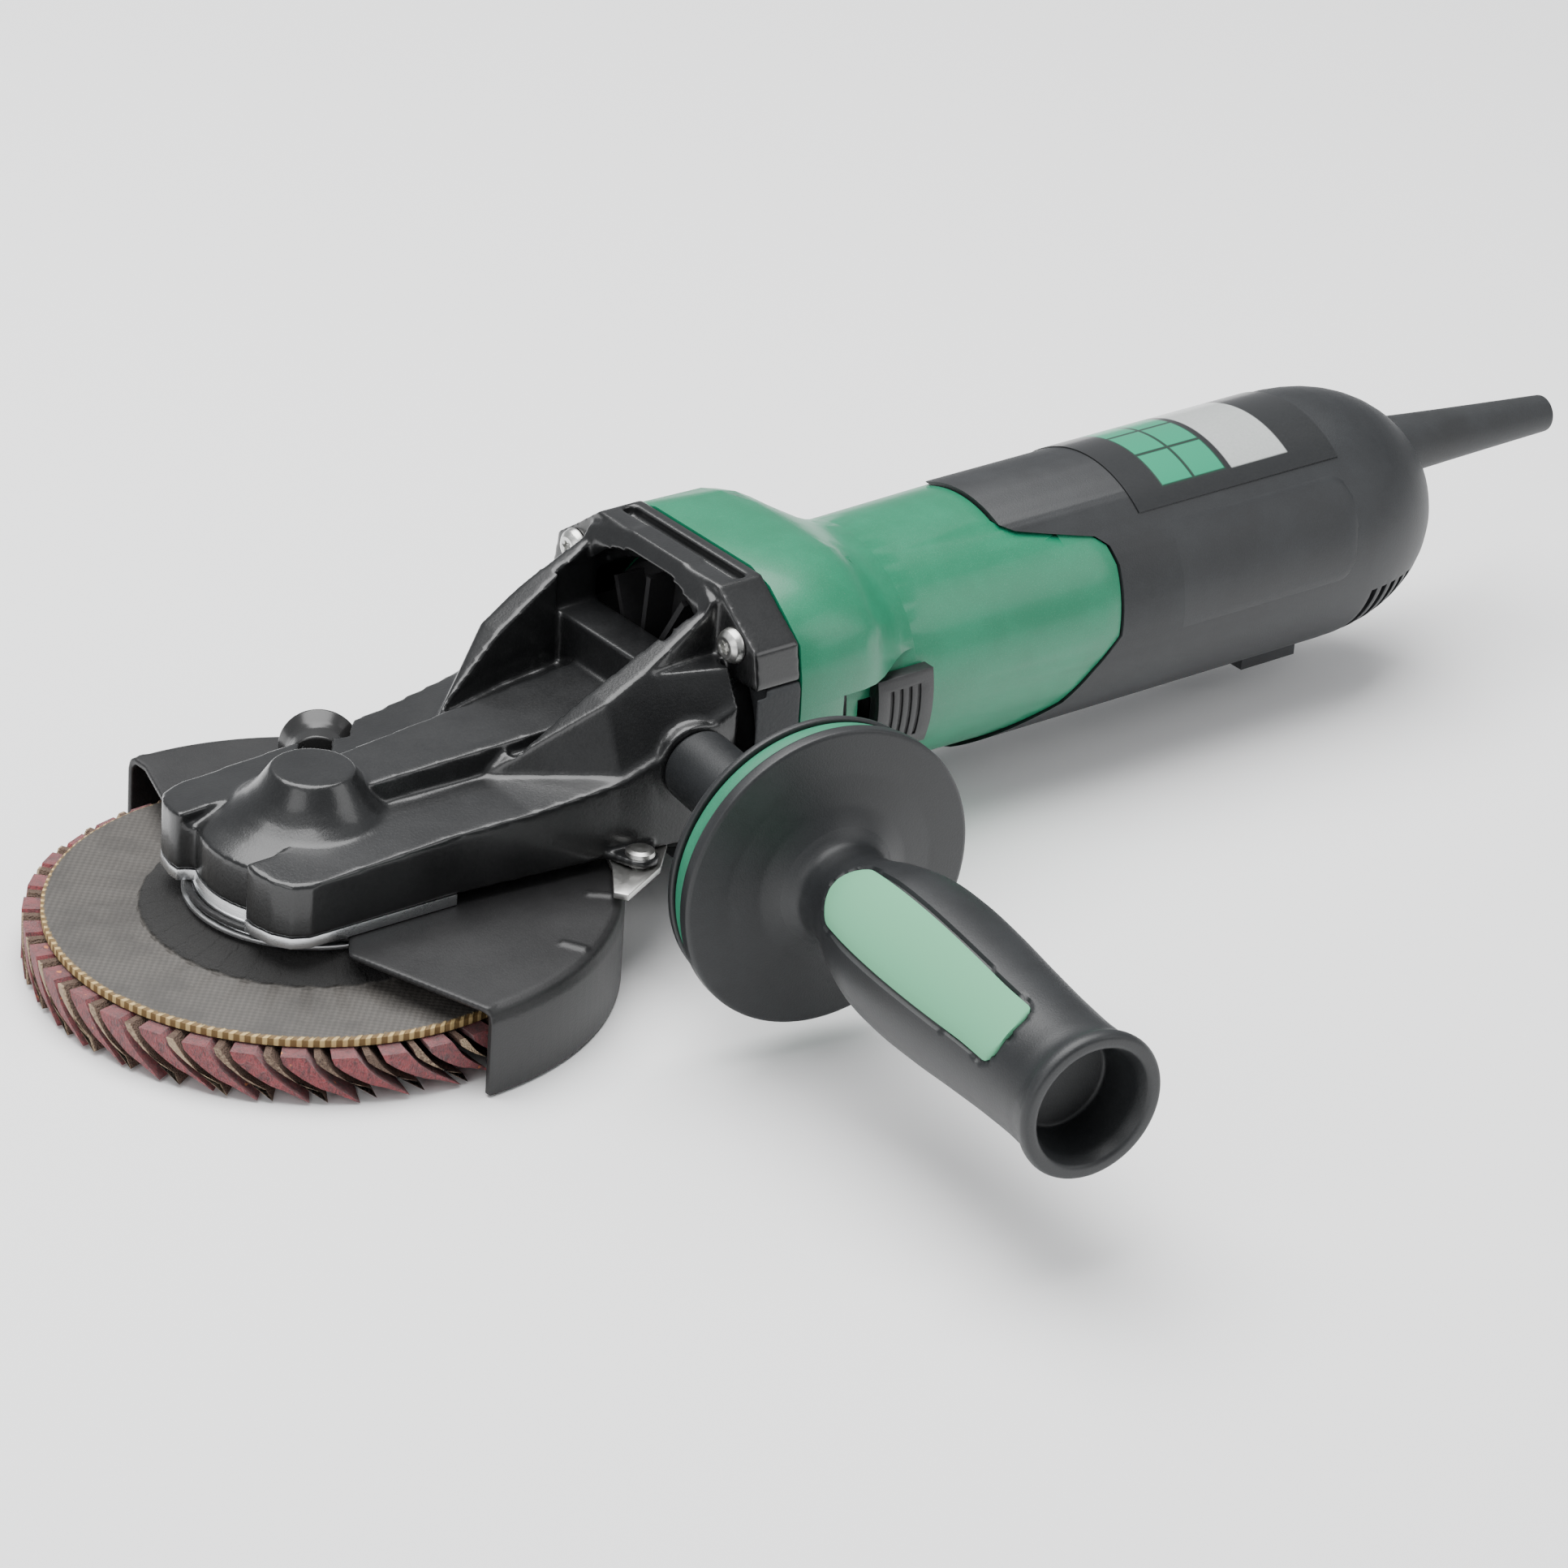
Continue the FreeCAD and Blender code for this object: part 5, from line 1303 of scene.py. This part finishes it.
@dataclass
class SidePanels:
    """Raised panels on both sides of the rear housing.

    Attributes:
        start: Where a panel starts along X in millimetres.
        end: Where it ends.
        turn: Lowest and highest direction of a panel, in degrees above the horizontal.
        radius: Radius of the housing about the motor axis.
        rise: How far a panel stands out.
        bury: How far its inner face lies in the housing.
        axis_height: Height of the motor axis.
    """

    start: float = 224.0
    end: float = 279.0
    turn: tuple[float, float] = (-5.0, 44.0)
    radius: float = 30.6
    rise: float = 0.32
    bury: float = 0.5
    axis_height: float = 36.0

    def panel(self, side: int) -> bpy.types.Mesh:
        """One panel: an arc swept along X, thinning out to the front and narrower at its rear corners.

        Args:
            side: 1 for the far side, -1 for the near side.

        Returns:
            The mesh.
        """
        low, high = np.radians(self.turn)
        share = np.linspace(0, 1, 40)[:, None]
        corner = 1 - np.sqrt(1 - np.maximum(0.0, (share - 0.9) / 0.1) ** 2)
        inset = 0.30 * corner
        turns = np.linspace((low + inset * 1.2)[:, 0], (high - inset * 0.7)[:, 0], 25, axis=1)
        edge = np.minimum(1.0, np.minimum(turns - turns[:, :1], turns[:, -1:] - turns) / 0.035)
        fade = np.minimum(1.0, np.minimum(share * 2.5, (1 - share) / 0.015))
        outer = self.radius + self.rise * fade * edge
        stations = self.start + (self.end - self.start) * share[:, 0]
        loops = shell_arc(stations, turns, outer, self.radius - self.bury, self.axis_height, side)
        return loop_solid("panel_mesh", loops, 20.0)

    def build(self, builder: Builder) -> None:
        """Add a panel on each side."""
        for side, name in ((-1, "near_side_panel"), (1, "far_side_panel")):
            builder.add(name, self.panel(side), Look.DARK, "rear_housing", replace=False)


PAINTED = {
    "cover_screws": Look.ZINC, "spindle": Look.GROUND, "crown_gear": Look.GEAR, "inner_flange": Look.GROUND,
    "spindle_lower_bearing": Look.GROUND, "spindle_upper_bearing": Look.GROUND, "lock_pin": Look.GROUND,
    "lock_spring": Look.ZINC, "lever_rivet": Look.ZINC, "layshaft": Look.GROUND, "bevel_pinion": Look.GEAR,
    "layshaft_gear": Look.GEAR, "layshaft_front_bearing": Look.GROUND, "layshaft_rear_bearing": Look.GROUND,
    "armature_shaft": Look.GROUND, "armature_core": Look.LAMINATED, "armature_coils": Look.COPPER,
    "commutator": Look.COPPER, "cooling_fan": Look.MOULDING, "motor_front_bearing": Look.GROUND,
    "motor_rear_bearing": Look.GROUND, "bearing_sleeve": Look.RUBBER, "stator": Look.LAMINATED,
    "field_coils": Look.COPPER, "air_baffle": Look.MOULDING, "carbon_brushes": Look.CARBON,
    "brush_holders": Look.BRASS, "rear_screws": Look.ZINC, "switch_rod": Look.SWITCH,
    "switch_block": Look.SWITCH, "control_tray": Look.MOULDING, "control_potting": Look.RUBBER,
    "cord_clamp": Look.DARK, "handle_stud": Look.ZINC,
}

BEVELLED = {
    "bearing_cover": (Look.ALUMINIUM, 0.35), "guard_lever": (Look.ZINC, 0.25),
    "slide_switch": (Look.SWITCH, 0.4), "clamping_nut": (Look.BLACKENED, 0.4),
    "motor_housing": (Look.GREEN, 0.5), "rear_housing": (Look.DARK, 0.5),
}

CAST = {
    "gear_housing": (Look.CASTING, 0.6, 7, 0.40), "air_guide": (Look.ROUGH_DARK, 0.6, 3, 0.8),
    "guard": (Look.GUARD, 0.5, 3, 0.5),
}


def handle_axis() -> Vector:
    """Direction of the side handle's axis."""
    lean, drop = math.radians(6.87), math.radians(0.82)
    return Vector((-math.sin(lean) * math.cos(drop), -math.cos(lean) * math.cos(drop), -math.sin(drop)))


def build_pieces(builder: Builder) -> None:
    """Add every piece of the grinder.

    Args:
        builder: Takes the pieces.
    """
    for node, (look, voxel, smooth, keep) in CAST.items():
        builder.cast(node, look, voxel, smooth, keep)
    for node, (look, width) in BEVELLED.items():
        builder.bevelled(node, look, width)
    for node, look in PAINTED.items():
        builder.paint(node, look)
    drop = math.radians(3.0)
    assemblies = [
        FlapDisc(),
        SideHandle(Vector((78.3, -34.4, 38.4)), handle_axis(), Vector((-0.71, 0.071, 0.70))),
        CordSleeve(Vector((303.0, 0.0, 47.0)), Vector((math.cos(drop), 0.0, -math.sin(drop)))),
        LockButton(Vector((0.0, 0.0, 27.0)), Vector((0.6, 0.8, 0.0))),
        CaseScrews(91.0, [(-29.3, 62.1), (29.3, 62.1), (-29.3, 10.5), (29.3, 10.5)]),
        LabelBand(),
        SidePanels(),
    ]
    for assembly in assemblies:
        assembly.build(builder)


# ---------------------------------------------------------------------------------------
# Stage
# ---------------------------------------------------------------------------------------
@dataclass(frozen=True)
class Softbox:
    """A square area light.

    Attributes:
        place: Where it stands, in metres.
        target: What it looks at.
        size: Its side.
        power: Its power in watts.
    """

    place: tuple[float, float, float]
    target: tuple[float, float, float]
    size: float
    power: float

    def build(self, name: str) -> bpy.types.Object:
        """Add the light.

        Args:
            name: Name of the light.

        Returns:
            The light's object.
        """
        lamp = bpy.data.lights.new(name, "AREA")
        lamp.size = self.size
        lamp.energy = self.power
        holder = bpy.data.objects.new(name, lamp)
        holder.location = self.place
        aim = Vector(self.target) - Vector(self.place)
        holder.rotation_euler = aim.to_track_quat("-Z", "Y").to_euler()
        bpy.context.scene.collection.objects.link(holder)
        return holder


def build_stage(lowest: float) -> None:
    """Add the floor, the lights and the surrounding light.

    Args:
        lowest: Height of the object's lowest point in metres.
    """
    mesh = bpy.data.meshes.new("floor_mesh")
    reach = 6.0
    corners = [(-reach, -reach, 0), (reach, -reach, 0), (reach, reach, 0), (-reach, reach, 0)]
    mesh.from_pydata(corners, [], [(0, 1, 2, 3)])
    floor = bpy.data.objects.new("floor", mesh)
    floor.location = (0, 0, lowest - FLOOR_GAP)
    bpy.context.scene.collection.objects.link(floor)
    graph = Graph("pale_floor")
    graph.surface((0.95, 0.95, 0.95), 0.8)
    mesh.materials.append(graph.material)
    boxes = [
        Softbox((0.0, 0.25, 1.3), (0.1, 0, 0.03), 1.4, 46.0),
        Softbox((-1.0, -0.4, 0.6), (0.05, 0, 0.03), 0.7, 4.0),
        Softbox((0.9, -1.0, 0.8), (0.12, -0.05, 0.03), 0.8, 5.0),
    ]
    [box.build("softbox_%d" % number) for number, box in enumerate(boxes)]
    world = bpy.data.worlds.new("studio")
    world.use_nodes = True
    world.node_tree.nodes["Background"].inputs[0].default_value = (0.95, 0.97, 1.0, 1.0)
    world.node_tree.nodes["Background"].inputs[1].default_value = 0.45
    bpy.context.scene.world = world


@dataclass(frozen=True)
class Viewpoint:
    """A camera given by its directions and its offset.

    Attributes:
        right: Direction of the view's right.
        up: Direction of the view's top.
        back: Direction from the object to the camera.
        distance: Distance from the origin along back, in millimetres.
        shift: Sideways and upward offset in millimetres.
        lens: Focal length in millimetres.
        lift: Height of the reference plane in millimetres.
    """

    right: tuple[float, float, float] = (0.78839551, -0.61196874, 0.06266397)
    up: tuple[float, float, float] = (0.2395076, 0.39918156, 0.88503683)
    back: tuple[float, float, float] = (-0.56662918, -0.68275057, 0.46128411)
    distance: float = 1418.5
    shift: tuple[float, float] = (103.9, 26.6)
    lens: float = 149.24
    lift: float = 9.0

    def build(self) -> bpy.types.Object:
        """Add the camera and make it the scene's.

        Returns:
            The camera's object.
        """
        data = bpy.data.cameras.new("camera")
        data.lens = self.lens
        data.sensor_width = 36.0
        data.clip_end = 20.0
        camera = bpy.data.objects.new("camera", data)
        right, up, back = Vector(self.right), Vector(self.up), Vector(self.back)
        place = back * self.distance + right * self.shift[0] + up * self.shift[1] + Vector((0, 0, self.lift))
        turn = Matrix((right, up, back)).transposed().to_4x4()
        turn.translation = place * MM
        camera.matrix_world = turn
        bpy.context.scene.collection.objects.link(camera)
        bpy.context.scene.camera = camera
        return camera


def main() -> None:
    """Build the looks, the stage and the camera."""
    logging.basicConfig(level=logging.INFO, format="%(name)s %(message)s")
    builder = Builder(frame)
    build_pieces(builder)
    build_stage(BOX_AT_START[0][2])
    Viewpoint().build()


if __name__ == "__main__":
    main()
